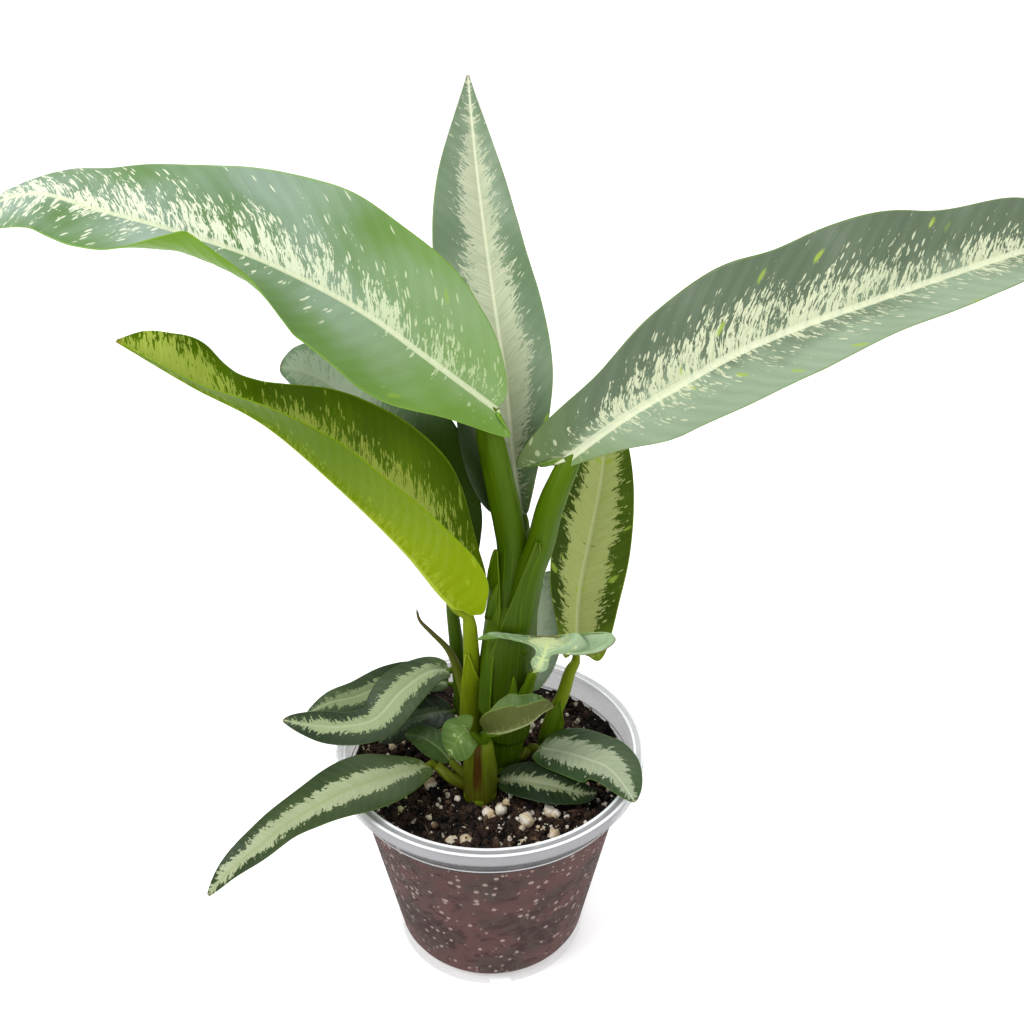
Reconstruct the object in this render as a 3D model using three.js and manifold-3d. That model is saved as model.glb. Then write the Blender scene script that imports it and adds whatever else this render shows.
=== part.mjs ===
// A potted dieffenbachia: a clear nursery pot, potting mix, four shoots and seventeen leaf blades.
// Millimetres, +Z up. The origin is the middle of the pot's underside, and the front is -Y.

import * as THREE from 'three';
import { mergeVertices } from 'three/addons/utils/BufferGeometryUtils.js';
import Module from 'manifold-3d';

const wasm = await Module();
wasm.setup();

// Driving dimensions of the pot
const POT_HEIGHT = 98;
const RIM_RADIUS = 65;
const RIM_SKIRT = 5.5;
const RIM_WALL = 1.1;
const COLLAR_RADIUS = 61;
const COLLAR_HEIGHT = 13;
const WALL_TOP_RADIUS = 58;
const BASE_RADIUS = 42.5;
const WALL = 1.0;
const FOOT_HEIGHT = 4.5;
const FOOT_WIDTH = 4;
const PAD_RADIUS = 14;
const FLOOR = 1.2;
const FLOOR_LIFT = 3.2;
const WALL_FOOT = FOOT_HEIGHT + 0.8;
const LEDGE = POT_HEIGHT - COLLAR_HEIGHT;
const POT_SEGMENTS = 40;
const DRAIN = { count: 8, radius: 3, ring: 27, depth: 8 };
const NOTCH = { count: 4, width: 9, depth: 14, height: 3.2, firstDegrees: -84 };

// Driving dimensions of the potting mix and of the play between pieces that touch
const SOIL_TOP = 82.5;
const GAP = 0.3;
const PEG_DEPTH = 26;
const PERLITE = { count: 40, least: 1.3, most: 3.1 };
const BARK = { count: 9, length: 9, width: 4.5, height: 3, sink: 0.6 };
const SCATTER_RADIUS = 52;
const SOIL = { rings: 9, sectors: 36 };

// Driving dimensions of the leaf blades
const BLADE_THICKNESS = 0.9;
const MARGIN_THICKNESS = 0.66;
const TIP_HALF = 0.5;
const LARGE = { rows: 20, across: [0, 0.1, 0.36, 0.68, 1] };
const MEDIUM = { rows: 16, across: [0, 0.14, 0.54, 1] };
const SMALL = { rows: 11, across: [0, 0.2, 0.6, 1] };
const RUFFLED = { rows: 12, across: [0, 0.2, 0.4, 0.6, 0.8, 1] };

const DEG = Math.PI / 180;
const vec = (p) => new THREE.Vector3(...p);

// The leaves. rib: the midrib from base to tip. face: the way the upper side looks, from base to
// tip. half: the widest half width, left and right of the midrib when looking along it with the
// upper side up. outline: the exponents of the blade's outline at its base and its tip. fold:
// degrees that each half is lifted, [left at rib, left at margin, right at rib, right at margin],
// from base to tip. wave: the margin's ruffle, [size, count, phase, middle, spread], left and
// right. lobe: how far each half reaches back past the stalk. neck: half width at the stalk.
// keel: how deep the midrib stands out below at the base. trim, where given: how the half widths
// differ from the plain outline at equal steps from base to tip, left and right.
const LEAVES = {
  leaf_upper_left: {
    size: LARGE, colour: 0x5d8468,
    rib: [[4, -6, 253], [-17, -13, 273], [-40, -18, 293], [-67, -23, 310], [-92, -28, 321],
      [-116, -31, 329], [-132, -33, 334], [-148, -34, 330], [-164, -34, 319]],
    face: [[-0.35, -0.75, 0.5], [-0.25, -0.75, 0.6], [-0.15, -0.8, 0.6], [-0.3, -0.7, 0.6]],
    half: [30, 31.5], outline: [0.5, 0.95],
    fold: [[30, 70, 0, -5], [26, 64, 2, -5], [22, 58, 5, -5], [21, 60, 5, -3], [20, 62, 5, 0],
      [32, 105, 2, -8], [34, 135, 0, -20], [24, 60, -10, -40], [10, 25, -20, -60],
      [10, 18, -25, -70], [10, 10, -30, -80]],
    trim: [[0.3, 0.55, 0.87, 0.95, 0.82, 0.9, 1.25, 1, 0.85, 1.1, 1.1],
      [0.4, 0.85, 0.97, 0.97, 1.03, 0.98, 0.95, 1.05, 1.02, 1, 1]],
    wave: [[1, 2, 0.1, 0.5, 1], [0.8, 2, 0.4, 0.5, 1]], lobe: [9, 5], neck: 3.4, keel: 4,
  },
  leaf_upper_middle: {
    size: LARGE, colour: 0x6e9474,
    rib: [[13, 6, 205], [10, 10, 226], [7, 20, 254], [2, 34, 284], [-2, 46, 311],
      [-5, 58, 334], [-7, 68, 355]],
    face: [[0, -0.9, 0.35], [0, -0.9, 0.4], [0, -0.85, 0.5]],
    half: [25, 19.5], outline: [0.85, 1.15],
    fold: [[40, 30, 40, 30], [30, 25, 30, 25], [30, 30, 30, 30]],
    trim: [[0.8, 0.8, 0.78, 0.78, 0.78, 0.8, 0.98, 1.1, 1.12, 1.13, 1.2],
      [0.5, 0.8, 1.05, 1.07, 1.02, 0.97, 0.91, 0.86, 0.92, 0.98, 0.9]],
    wave: [[0.8, 3, 0.2, 0.5, 1], [0.8, 3, 0.6, 0.5, 1]], lobe: [4, 4], neck: 2.4, keel: 2.4,
  },
  leaf_upper_right: {
    size: LARGE, colour: 0x5f8767,
    rib: [[29, -1, 231], [48, -4, 248], [66, -6, 261], [87, -8, 275], [108, -9, 285],
      [129, -9, 293], [150, -7, 300], [179, -4, 309], [211, 0, 316]],
    face: [[0.35, -0.75, 0.5], [0.25, -0.75, 0.6], [0.15, -0.8, 0.6]],
    half: [32, 31], outline: [0.65, 0.75],
    fold: [[10, 15, 25, 35], [5, 0, 38, 52], [5, 0, 40, 54], [5, 0, 40, 54], [5, 0, 35, 45]],
    trim: [[0.9, 0.93, 0.86, 0.72, 0.83, 0.9, 0.92, 0.94, 0.93, 0.83, 0.89, 0.95, 0.93, 0.92, 0.9,
      0.86, 0.86, 0.95, 0.97, 1, 1],
    [0.3, 0.55, 0.83, 0.84, 0.84, 0.78, 0.74, 0.74, 0.68, 0.7, 0.8]],
    wave: [[2.6, 5, 0.1, 0.5, 1], [1, 3, 0.4, 0.5, 1]], lobe: [10, 3], neck: 3.4, keel: 4,
  },
  leaf_young_left: {
    size: LARGE, colour: 0x86a82f,
    rib: [[-8, -12, 175], [-15, -15, 182], [-28, -21, 205], [-49, -28, 234], [-71, -34, 260],
      [-92, -38, 275], [-113, -41, 291]],
    face: [[0.75, 0, 0.65], [0.7, 0, 0.7], [0.6, 0, 0.75]],
    half: [30, 38], outline: [0.5, 1.15],
    fold: [[50, 52, 50, 45], [50, 52, 50, 45], [47, 45, 55, 55], [40, 30, 50, 40]],
    trim: [[1, 1], [0.75, 0.7, 0.68, 0.72, 0.8, 0.87, 0.92, 0.94, 0.94, 0.93, 0.92, 0.9, 0.87, 0.77,
      0.65, 0.52, 0.65, 1.2, 1.6, 1.7, 1.4]],
    wave: [[1, 2, 0.1, 0.5, 1], [4, 4, 0.35, 0.8, 0.12]], lobe: [4, 4], neck: 3, keel: 2.6,
  },
  leaf_behind_left: {
    size: LARGE, colour: 0x6c9470,
    rib: [[-17, 14, 164], [-23, 14, 189], [-35, 14, 224], [-52, 12, 250], [-63, 10, 265],
      [-72, 8, 271], [-78, 4, 267]],
    face: [[-0.1, -0.9, 0.3], [-0.1, -0.9, 0.3], [-0.1, -0.9, 0.4]],
    half: [16, 28], outline: [0.6, 0.6],
    fold: [[20, 10, 20, 10], [15, 5, 15, 5], [10, 20, 10, 20]],
    wave: [[1, 2, 0.1, 0.5, 1], [1, 2, 0.6, 0.5, 1]], lobe: [4, 4], neck: 2.2, keel: 2,
  },
  leaf_right: {
    size: LARGE, colour: 0x7c9c58,
    rib: [[37, 23, 129], [38, 32, 152], [42, 40, 173], [47, 52, 196], [49, 62, 215],
      [49, 70, 232]],
    face: [[0.05, -0.9, 0.4], [0.05, -0.9, 0.4], [0.05, -0.9, 0.4]],
    half: [18, 18], outline: [0.45, 0.9],
    fold: [[20, 15, 20, 15], [15, 10, 15, 10], [15, 15, 15, 15]],
    wave: [[0.8, 3, 0.1, 0.5, 1], [0.8, 3, 0.6, 0.5, 1]], lobe: [4, 4], neck: 2, keel: 1.8,
  },
  leaf_behind: {
    size: SMALL, colour: 0x8fae9c,
    rib: [[17, 26, 106], [21, 28, 126], [23, 32, 144], [25, 36, 161]],
    face: [[0, -0.9, 0.3], [0, -0.9, 0.4], [0, -0.8, 0.5]],
    half: [9, 9], outline: [0.6, 0.7],
    fold: [[15, 10, 15, 10], [15, 10, 15, 10]],
    wave: [[0.3, 2, 0.1, 0.5, 1], [0.3, 2, 0.6, 0.5, 1]], lobe: [1, 1], neck: 1.6, keel: 1,
  },
  leaf_ruffled: {
    size: RUFFLED, colour: 0x7d9f80,
    rib: [[18, -18, 147], [19, -20.5, 151], [20.5, -21, 155], [22, -19.5, 158.5],
      [23, -16.5, 160.5], [23.5, -13, 161]],
    face: [[0, -0.9, 0.3], [0, -0.8, 0.5], [0, -0.2, 0.9], [0, 0.2, 0.9]],
    half: [27, 24], outline: [3.2, 0.5],
    fold: [[20, 0, 20, 0], [10, 8, 10, 5], [5, 0, 12, 0], [0, -2, 8, 0]],
    trim: [[1, 2, 2, 1.4, 0.7, 0.3, 0.2, 0.3, 0.75, 1.05, 1.1],
      [1, 2, 2, 1.5, 0.7, 0.25, 0.15, 0.25, 0.7, 1.05, 1.1]],
    wave: [[0.4, 2, 0.1, 0.5, 1], [0.4, 3, 0.6, 0.5, 1]], lobe: [0, 0], neck: 1.6, keel: 1,
  },
  leaf_folded: {
    size: MEDIUM, colour: 0x7a9a62,
    rib: [[0, -20, 120], [5, -24, 124], [10, -27, 128], [16, -27, 131], [21, -26, 135],
      [25, -24, 136]],
    face: [[-0.5, 0, 0.8], [-0.3, 0, 0.9], [-0.3, 0, 0.9]],
    half: [13, 12], outline: [0.5, 0.6],
    fold: [[45, 40, 75, 85], [45, 40, 75, 85], [45, 40, 65, 75]],
    wave: [[0.5, 1, 0.1, 0.5, 1], [0.8, 1, 0.6, 0.5, 1]], lobe: [2, 0], neck: 2, keel: 1,
  },
  leaf_folded_left: {
    size: SMALL, colour: 0x6f9a55,
    rib: [[-7, -23.2, 122.6], [-8.3, -26, 126], [-11.5, -29, 125], [-15.5, -29, 116]],
    face: [[0, -0.6, 0.8], [-0.3, -0.6, 0.7], [-0.6, -0.7, 0.4]],
    half: [8, 8.5], outline: [0.5, 0.45],
    fold: [[0, -10, 0, -10], [0, -10, 0, -10]],
    wave: [[0.2, 1, 0.1, 0.5, 1], [0.2, 1, 0.6, 0.5, 1]], lobe: [0, 0], neck: 1.4, keel: 0.3,
  },
  leaf_low_left: {
    size: MEDIUM, colour: 0x6f946a,
    rib: [[-18, 19, 122], [-26, 15, 124], [-37, 7, 120], [-46, -2, 114], [-53, -6, 113],
      [-64, -8, 113], [-75, -9, 115], [-84, -10, 118]],
    face: [[-0.1, -0.4, 0.9], [-0.1, -0.4, 0.9], [-0.1, -0.4, 0.9]],
    half: [11, 11], outline: [0.6, 0.8],
    fold: [[15, 0, 15, 0], [10, 0, 10, 0], [15, 10, 15, 10]],
    wave: [[0.8, 2, 0.1, 0.5, 1], [0.8, 2, 0.6, 0.5, 1]], lobe: [2, 2], neck: 1.8, keel: 1.2,
  },
  leaf_low_left_back: {
    size: SMALL, colour: 0x5b8058,
    rib: [[-19, 28, 108], [-32, 29, 112], [-45, 25, 112], [-58, 19, 110], [-70, 16, 110],
      [-81, 12, 107]],
    face: [[-0.1, -0.4, 0.9], [-0.1, -0.4, 0.9], [-0.1, -0.4, 0.9]],
    half: [8, 8], outline: [0.6, 0.8],
    fold: [[15, 5, 15, 5], [15, 5, 15, 5]],
    wave: [[0.3, 2, 0.1, 0.5, 1], [0.3, 2, 0.6, 0.5, 1]], lobe: [1, 1], neck: 1.5, keel: 1,
  },
  leaf_low_left_under: {
    size: SMALL, colour: 0x55784f,
    rib: [[-17, 20, 99], [-22, 17, 101], [-28, 14, 102], [-37, 12, 99], [-48, 6, 93]],
    face: [[-0.1, -0.4, 0.9], [-0.1, -0.4, 0.9], [-0.1, -0.4, 0.9]],
    half: [10, 10], outline: [0.6, 0.8],
    fold: [[15, 5, 15, 5], [15, 5, 15, 5]],
    wave: [[0.3, 2, 0.1, 0.5, 1], [0.3, 2, 0.6, 0.5, 1]], lobe: [1, 1], neck: 1.5, keel: 1,
  },
  leaf_front_left: {
    size: MEDIUM, colour: 0x668b5c,
    rib: [[-26, -14, 98], [-37, -26, 104], [-46, -34, 107], [-56, -41, 108], [-66, -48, 107],
      [-76, -54, 104], [-85, -61, 100], [-95, -68, 95], [-103, -74, 88]],
    face: [[-0.2, -0.3, 0.9], [-0.2, -0.3, 0.9], [-0.3, -0.4, 0.8]],
    half: [11, 12], outline: [0.6, 0.8],
    fold: [[15, 0, 15, 0], [10, 0, 10, 0], [15, 10, 15, 10]],
    wave: [[0.6, 2, 0.1, 0.5, 1], [0.6, 2, 0.6, 0.5, 1]], lobe: [2, 2], neck: 1.8, keel: 1.4,
  },
  leaf_front_left_back: {
    size: SMALL, colour: 0x4f7446,
    rib: [[-17, -6, 94], [-22, -3, 98], [-29, 0, 101], [-36, 2, 101]],
    face: [[-0.1, -0.4, 0.9], [-0.1, -0.4, 0.9], [-0.1, -0.4, 0.9]],
    half: [6, 6], outline: [0.6, 0.8],
    fold: [[15, 5, 15, 5], [15, 5, 15, 5]],
    wave: [[0.3, 2, 0.1, 0.5, 1], [0.3, 2, 0.6, 0.5, 1]], lobe: [1, 1], neck: 1.4, keel: 1,
  },
  leaf_front_right: {
    size: MEDIUM, colour: 0x5f8565,
    rib: [[21, -2, 97], [32, -11, 102], [41, -19, 105], [47, -24, 106], [52, -32, 106],
      [57, -41, 103]],
    face: [[0.1, -0.3, 0.9], [0.1, -0.2, 0.9], [0.3, -0.3, 0.9]],
    half: [16, 12], outline: [0.5, 0.7],
    fold: [[10, 0, 10, 0], [5, -10, 5, -10], [10, 0, 10, 0]],
    wave: [[0.4, 2, 0.1, 0.5, 1], [0.4, 2, 0.6, 0.5, 1]], lobe: [2, 2], neck: 1.8, keel: 1.2,
  },
  leaf_front_right_under: {
    size: SMALL, colour: 0x537a57,
    rib: [[4, -13, 89], [11, -15, 91], [20, -18, 92], [29, -21, 92], [38, -23, 91],
      [44, -22, 90]],
    face: [[0, -0.3, 0.9], [0, -0.3, 0.9], [0, -0.3, 0.9]],
    half: [9, 9], outline: [0.55, 0.75],
    fold: [[10, 5, 10, 5], [10, 5, 10, 5]],
    wave: [[0.3, 2, 0.1, 0.5, 1], [0.3, 2, 0.6, 0.5, 1]], lobe: [1, 1], neck: 1.4, keel: 0.8,
  },
};

// A value that goes in equal steps through a list of stations, each a number or a list of numbers
function alongStations(stations, u) {
  const place = Math.min(Math.max(u, 0), 1) * (stations.length - 1);
  const first = Math.min(Math.floor(place), stations.length - 2);
  const t = place - first;
  return stations[first].map((value, k) => value + (stations[first + 1][k] - value) * t);
}

const smoothCurve = (points) =>
  new THREE.CatmullRomCurve3(points.map(vec), false, 'catmullrom', 0.5);

// The middle surface of a leaf: a function of u, from base to tip, and v, from -1 to 1 across
function leafSurface(leaf) {
  const rib = smoothCurve(leaf.rib);
  const [p, q] = leaf.outline;
  const widest = p / (p + q);
  const peak = widest ** p * (1 - widest) ** q;

  const frameAt = (u) => {
    const along = rib.getTangentAt(u);
    const up = vec(alongStations(leaf.face, u));
    up.addScaledVector(along, -up.dot(along)).normalize();
    return { along, up, left: new THREE.Vector3().crossVectors(up, along) };
  };

  const pointAt = (u, v) => {
    const side = v < 0 ? 0 : 1;
    const t = Math.abs(v);
    const { along, up, left } = frameAt(u);
    const sideways = left.clone().multiplyScalar(side === 0 ? 1 : -1);
    const shape = u ** p * (1 - u) ** q / peak;
    const trim = leaf.trim ? alongStations(leaf.trim[side].map((share) => [share]), u)[0] : 1;
    const width = leaf.half[side] * shape * trim + leaf.neck * (1 - u) ** 8 + TIP_HALF * u;
    const folds = alongStations(leaf.fold, u);
    const first = folds[side * 2] * DEG;
    const last = folds[side * 2 + 1] * DEG;
    const angle = first + (last - first) * t;
    const middle = (first + angle) / 2;
    const [size, count, phase, centre, spread] = leaf.wave[side];
    const ends = Math.min(1, 6 * u * (1 - u)) * Math.exp(-(((u - centre) / spread) ** 2));
    const ruffle = size * t * t * ends * Math.sin(2 * Math.PI * (count * u + phase));
    const back = leaf.lobe[side] * t ** 1.5 * Math.exp(-((u / 0.16) ** 2)) * Math.min(1, u / 0.03);
    return rib.getPointAt(u)
      .addScaledVector(sideways, width * t * Math.cos(middle) - ruffle * Math.sin(angle))
      .addScaledVector(up, width * t * Math.sin(middle) + ruffle * Math.cos(angle))
      .addScaledVector(along, -back);
  };
  return { frameAt, pointAt };
}

// One closed body from two skins of rows x columns, both split along the same diagonals
function closedSkins(rows, columns, pointAt) {
  const places = [];
  const faces = [];
  const at = (i, j, back) => (back * (rows + 1) + i) * (columns + 1) + j;
  const quad = (a, b, c, d) => faces.push(a, b, c, a, c, d);
  for (const back of [0, 1]) {
    for (let i = 0; i <= rows; i++) {
      for (let j = 0; j <= columns; j++) places.push(...pointAt(i, j, back).toArray());
    }
  }
  for (let i = 0; i < rows; i++) {
    for (let j = 0; j < columns; j++) {
      quad(at(i, j, 0), at(i, j + 1, 0), at(i + 1, j + 1, 0), at(i + 1, j, 0));
      const [a, b, c, d] = [at(i, j, 1), at(i, j + 1, 1), at(i + 1, j + 1, 1), at(i + 1, j, 1)];
      quad(a, d, c, b);
    }
    quad(at(i, 0, 0), at(i + 1, 0, 0), at(i + 1, 0, 1), at(i, 0, 1));
    quad(at(i, columns, 0), at(i, columns, 1), at(i + 1, columns, 1), at(i + 1, columns, 0));
  }
  for (let j = 0; j < columns; j++) {
    quad(at(0, j, 0), at(0, j, 1), at(0, j + 1, 1), at(0, j + 1, 0));
    quad(at(rows, j, 0), at(rows, j + 1, 0), at(rows, j + 1, 1), at(rows, j, 1));
  }
  return indexed(places, faces);
}

function indexed(places, faces) {
  const geometry = new THREE.BufferGeometry();
  geometry.setAttribute('position', new THREE.Float32BufferAttribute(places, 3));
  geometry.setIndex(faces);
  return geometry;
}

function bladeGeometry(leaf) {
  const { rows, across } = leaf.size;
  const columns = [...across.slice(1).reverse().map((t) => -t), ...across];
  const { pointAt } = leafSurface(leaf);
  const step = 0.004;
  const reach = 0.05;
  const clampU = (u) => Math.min(Math.max(u, 0), 1);
  const clampV = (v) => Math.min(Math.max(v, -1), 1);
  return closedSkins(rows, columns.length - 1, (i, j, back) => {
    const u = (i / rows) ** 1.25;
    const v = columns[j];
    const sideways = pointAt(u, clampV(v + reach)).sub(pointAt(u, clampV(v - reach)));
    const onward = pointAt(clampU(u + step), v).sub(pointAt(clampU(u - step), v));
    const normal = new THREE.Vector3().crossVectors(sideways, onward).normalize();
    const t = Math.abs(v);
    const half = (BLADE_THICKNESS + (MARGIN_THICKNESS - BLADE_THICKNESS) * t) / 2;
    const keel = t < 0.01 ? leaf.keel * (1 - u) ** 1.2 : 0;
    return pointAt(u, v).addScaledVector(normal, back ? -half - keel : half);
  });
}

// The last two points of a stalk's path: it runs square up to the base of its leaf
function seat(name, run = 5) {
  const leaf = LEAVES[name];
  const { along, up } = leafSurface(leaf).frameAt(0);
  const end = vec(leaf.rib[0]).addScaledVector(along, -GAP).addScaledVector(up, -leaf.keel / 2);
  return [end.clone().addScaledVector(along, -run).toArray(), end.toArray()];
}

// A limb: a closed round or oval body along a path. sizes are [half width, half depth] stations
function limbGeometry(path, sizes, sides = 10, steps = 11) {
  const curve = smoothCurve(path);
  const places = [];
  const faces = [];
  for (let i = 0; i <= steps; i++) {
    const u = i / steps;
    const along = curve.getTangentAt(u);
    const wide = new THREE.Vector3(1, 0, 0);
    wide.addScaledVector(along, -wide.dot(along)).normalize();
    const deep = new THREE.Vector3().crossVectors(along, wide);
    const [a, b] = alongStations(sizes, u);
    for (let k = 0; k < sides; k++) {
      const angle = 2 * Math.PI * k / sides;
      places.push(...curve.getPointAt(u).addScaledVector(wide, a * Math.cos(angle))
        .addScaledVector(deep, b * Math.sin(angle)).toArray());
    }
  }
  for (let i = 0; i < steps; i++) {
    for (let k = 0; k < sides; k++) {
      const [a, b] = [i * sides + k, i * sides + (k + 1) % sides];
      faces.push(a, b, b + sides, a, b + sides, a + sides);
    }
  }
  const last = steps * sides;
  for (let k = 1; k < sides - 1; k++) faces.push(0, k + 1, k, last, last + k, last + k + 1);
  return indexed(places, faces);
}

// Closed geometry to a solid, and back
function solid(geometry) {
  const bare = geometry.clone();
  bare.deleteAttribute('normal');
  bare.deleteAttribute('uv');
  const merged = mergeVertices(bare, 1e-4);
  return new wasm.Manifold(new wasm.Mesh({
    numProp: 3,
    vertProperties: new Float32Array(merged.attributes.position.array),
    triVerts: new Uint32Array(merged.index.array),
  }));
}

function geometryOf(body) {
  const mesh = body.getMesh();
  return indexed(Array.from(mesh.vertProperties), Array.from(mesh.triVerts));
}

// The biggest of a body's separate scraps
const largest = (body) => body.decompose().reduce((a, b) => (a.volume() > b.volume() ? a : b));

const fuse = (geometries) => geometries.map(solid).reduce((sum, next) => sum.add(next));

// Pot: rim band, collar, ledge, tapered wall, notched foot ring, floor with a flat middle pad
function potProfile() {
  const skirt = POT_HEIGHT - RIM_SKIRT;
  const floorTop = FLOOR_LIFT + FLOOR;
  return [
    [0, 0], [PAD_RADIUS, 0], [PAD_RADIUS + 2.5, FLOOR_LIFT],
    [BASE_RADIUS - FOOT_WIDTH - 2, FLOOR_LIFT], [BASE_RADIUS - FOOT_WIDTH, 0],
    [BASE_RADIUS - 0.4, 0], [BASE_RADIUS + 0.3, FOOT_HEIGHT], [BASE_RADIUS - 0.2, WALL_FOOT],
    [WALL_TOP_RADIUS - 0.3, LEDGE - 2], [COLLAR_RADIUS - 0.5, LEDGE],
    [COLLAR_RADIUS + 0.4, skirt + 1], [RIM_RADIUS - RIM_WALL, skirt],
    [RIM_RADIUS, skirt + 0.4], [RIM_RADIUS, POT_HEIGHT - 0.8], [RIM_RADIUS - 0.8, POT_HEIGHT],
    [COLLAR_RADIUS, POT_HEIGHT], [COLLAR_RADIUS - 0.7, POT_HEIGHT - 1],
    [COLLAR_RADIUS - 0.5 - WALL, LEDGE + 1], [WALL_TOP_RADIUS - 0.3 - WALL, LEDGE - 1.2],
    [BASE_RADIUS - 0.2 - WALL, WALL_FOOT + 0.4], [BASE_RADIUS - 0.6 - WALL, floorTop],
    [PAD_RADIUS + 1.8, floorTop], [PAD_RADIUS - 0.9, FLOOR], [0, FLOOR],
  ];
}

function lathe(profile, segments) {
  return new THREE.LatheGeometry(profile.map(([r, z]) => new THREE.Vector2(r, z)), segments)
    .rotateX(Math.PI / 2);
}

function potGeometry() {
  let pot = solid(lathe(potProfile(), POT_SEGMENTS));
  for (let k = 0; k < DRAIN.count; k++) {
    const angle = 2 * Math.PI * (k + 0.5) / DRAIN.count;
    const hole = new THREE.CylinderGeometry(DRAIN.radius, DRAIN.radius, DRAIN.depth, 12)
      .rotateX(Math.PI / 2)
      .translate(DRAIN.ring * Math.cos(angle), DRAIN.ring * Math.sin(angle), DRAIN.depth / 2);
    pot = pot.subtract(solid(hole));
  }
  for (let k = 0; k < NOTCH.count; k++) {
    const notch = new THREE.BoxGeometry(NOTCH.depth, NOTCH.width, 2 * NOTCH.height)
      .translate(BASE_RADIUS, 0, 0)
      .rotateZ((NOTCH.firstDegrees + 360 * k / NOTCH.count) * DEG);
    pot = pot.subtract(solid(notch));
  }
  return geometryOf(pot);
}

// The pegs: where each shoot stands in the mix, [x, y, radius]
const PEGS = {
  shoot_main: [6, 3, 7],
  shoot_left: [-7, 16, 5.2],
  shoot_right: [24, 8, 4.6],
  shoot_front: [-4, -15, 7],
};

// Small free tips of old sheaths on the main shoot
const SHEATH_TIPS = [
  [[9, -8, 122], [10, -10, 132], [10, -11, 141]],
  [[14, -6, 122], [15, -8, 132], [16, -9, 141]],
  [[1, -6, 165], [2, -8, 175], [4, -9, 183]],
];

const pegLimb = (name, top) => {
  const [x, y, radius] = PEGS[name];
  return limbGeometry([[x, y, SOIL_TOP - PEG_DEPTH], [x, y, top]], [[radius, radius],
    [radius, radius]], 14, 1);
};

// A seeded draw, so that the grains lie alike each time
function seeded(seed) {
  let state = seed;
  return () => {
    state = (state * 1664525 + 1013904223) % 4294967296;
    return state / 4294967296;
  };
}

// Height of the mix: crumbs and hollows, with a small heap round the shoots
function soilHeight(x, y) {
  const r = Math.hypot(x, y);
  const heap = 2.2 * Math.exp(-((r / 34) ** 2))
    + 2.5 * Math.exp(-((x - 34) ** 2 + (y - 28) ** 2) / 150);
  const crumbs = 0.9 * Math.sin(0.42 * x + 1.3) * Math.cos(0.37 * y - 0.4)
    + 0.7 * Math.sin(0.83 * x - 0.61 * y) + 0.5 * Math.sin(1.31 * x + 0.97 * y + 2);
  return SOIL_TOP - 0.8 + heap + crumbs;
}

// Radius of the mix at a height: the pot's inner wall, less the play
function soilRadius(z) {
  const foot = WALL_FOOT + 0.4;
  const share = (z - foot) / (LEDGE - 1.2 - foot);
  const low = BASE_RADIUS - 0.2;
  return low + (WALL_TOP_RADIUS - 0.3 - low) * share - WALL - GAP - 0.2;
}

function soilGeometry() {
  const { rings, sectors } = SOIL;
  const floor = FLOOR_LIFT + FLOOR + GAP;
  const places = [];
  const faces = [];
  const ring = (radius, height) => {
    const start = places.length / 3;
    for (let k = 0; k < sectors; k++) {
      const angle = 2 * Math.PI * k / sectors;
      const [x, y] = [radius * Math.cos(angle), radius * Math.sin(angle)];
      places.push(x, y, height(x, y));
    }
    return start;
  };
  const join = (low, high) => {
    for (let k = 0; k < sectors; k++) {
      const next = (k + 1) % sectors;
      faces.push(low + k, low + next, high + next, low + k, high + next, high + k);
    }
  };
  places.push(0, 0, floor);
  const base = ring(soilRadius(floor) - 0.7, () => floor);
  for (let k = 0; k < sectors; k++) faces.push(0, base + (k + 1) % sectors, base + k);
  const low = ring(soilRadius(floor + 2), () => floor + 2);
  join(base, low);
  const shoulder = ring(soilRadius(SOIL_TOP - 5), () => SOIL_TOP - 5);
  join(low, shoulder);
  const topRadius = soilRadius(SOIL_TOP - 2);
  let outer = shoulder;
  for (let i = rings; i >= 1; i--) {
    const radius = topRadius * i / rings;
    const next = ring(i === rings ? topRadius : radius, (x, y) => Math.min(soilHeight(x, y),
      i === rings ? SOIL_TOP - 1.5 : SOIL_TOP + 8));
    join(outer, next);
    outer = next;
  }
  const middle = places.length / 3;
  places.push(0, 0, soilHeight(0, 0));
  for (let k = 0; k < sectors; k++) faces.push(middle, outer + k, outer + (k + 1) % sectors);
  return indexed(places, faces);
}

// Perlite grains and bark chips lie sunk in the mix, clear of the shoots and the wall
function grainGeometries() {
  const draw = seeded(7);
  const grains = [];
  const clear = (x, y, reach) => Math.hypot(x, y) < WALL_TOP_RADIUS - 4 - reach
    && Object.values(PEGS).every((peg) => Math.hypot(x - peg[0], y - peg[1]) > peg[2] + 1 + reach);
  while (grains.length < PERLITE.count + BARK.count) {
    const radius = SCATTER_RADIUS * Math.sqrt(draw());
    const turn = 2 * Math.PI * draw();
    const [x, y] = [radius * Math.cos(turn), radius * Math.sin(turn)];
    const isBark = grains.length >= PERLITE.count;
    const size = PERLITE.least + (PERLITE.most - PERLITE.least) * draw() ** 2;
    const angles = [draw(), draw(), draw()];
    if (!clear(x, y, isBark ? BARK.length / 2 : size)) continue;
    const body = isBark
      ? new THREE.BoxGeometry(BARK.length * (0.6 + 0.4 * angles[0]), BARK.width, BARK.height)
        .rotateX(0.5 * (angles[1] - 0.5)).rotateZ(2 * Math.PI * angles[2])
      : new THREE.OctahedronGeometry(size, 0).rotateX(angles[0] * 3).rotateZ(angles[1] * 3);
    grains.push(body.translate(x, y, soilHeight(x, y) + (isBark ? -BARK.sink : 0.2 * size)));
  }
  return grains;
}

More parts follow.
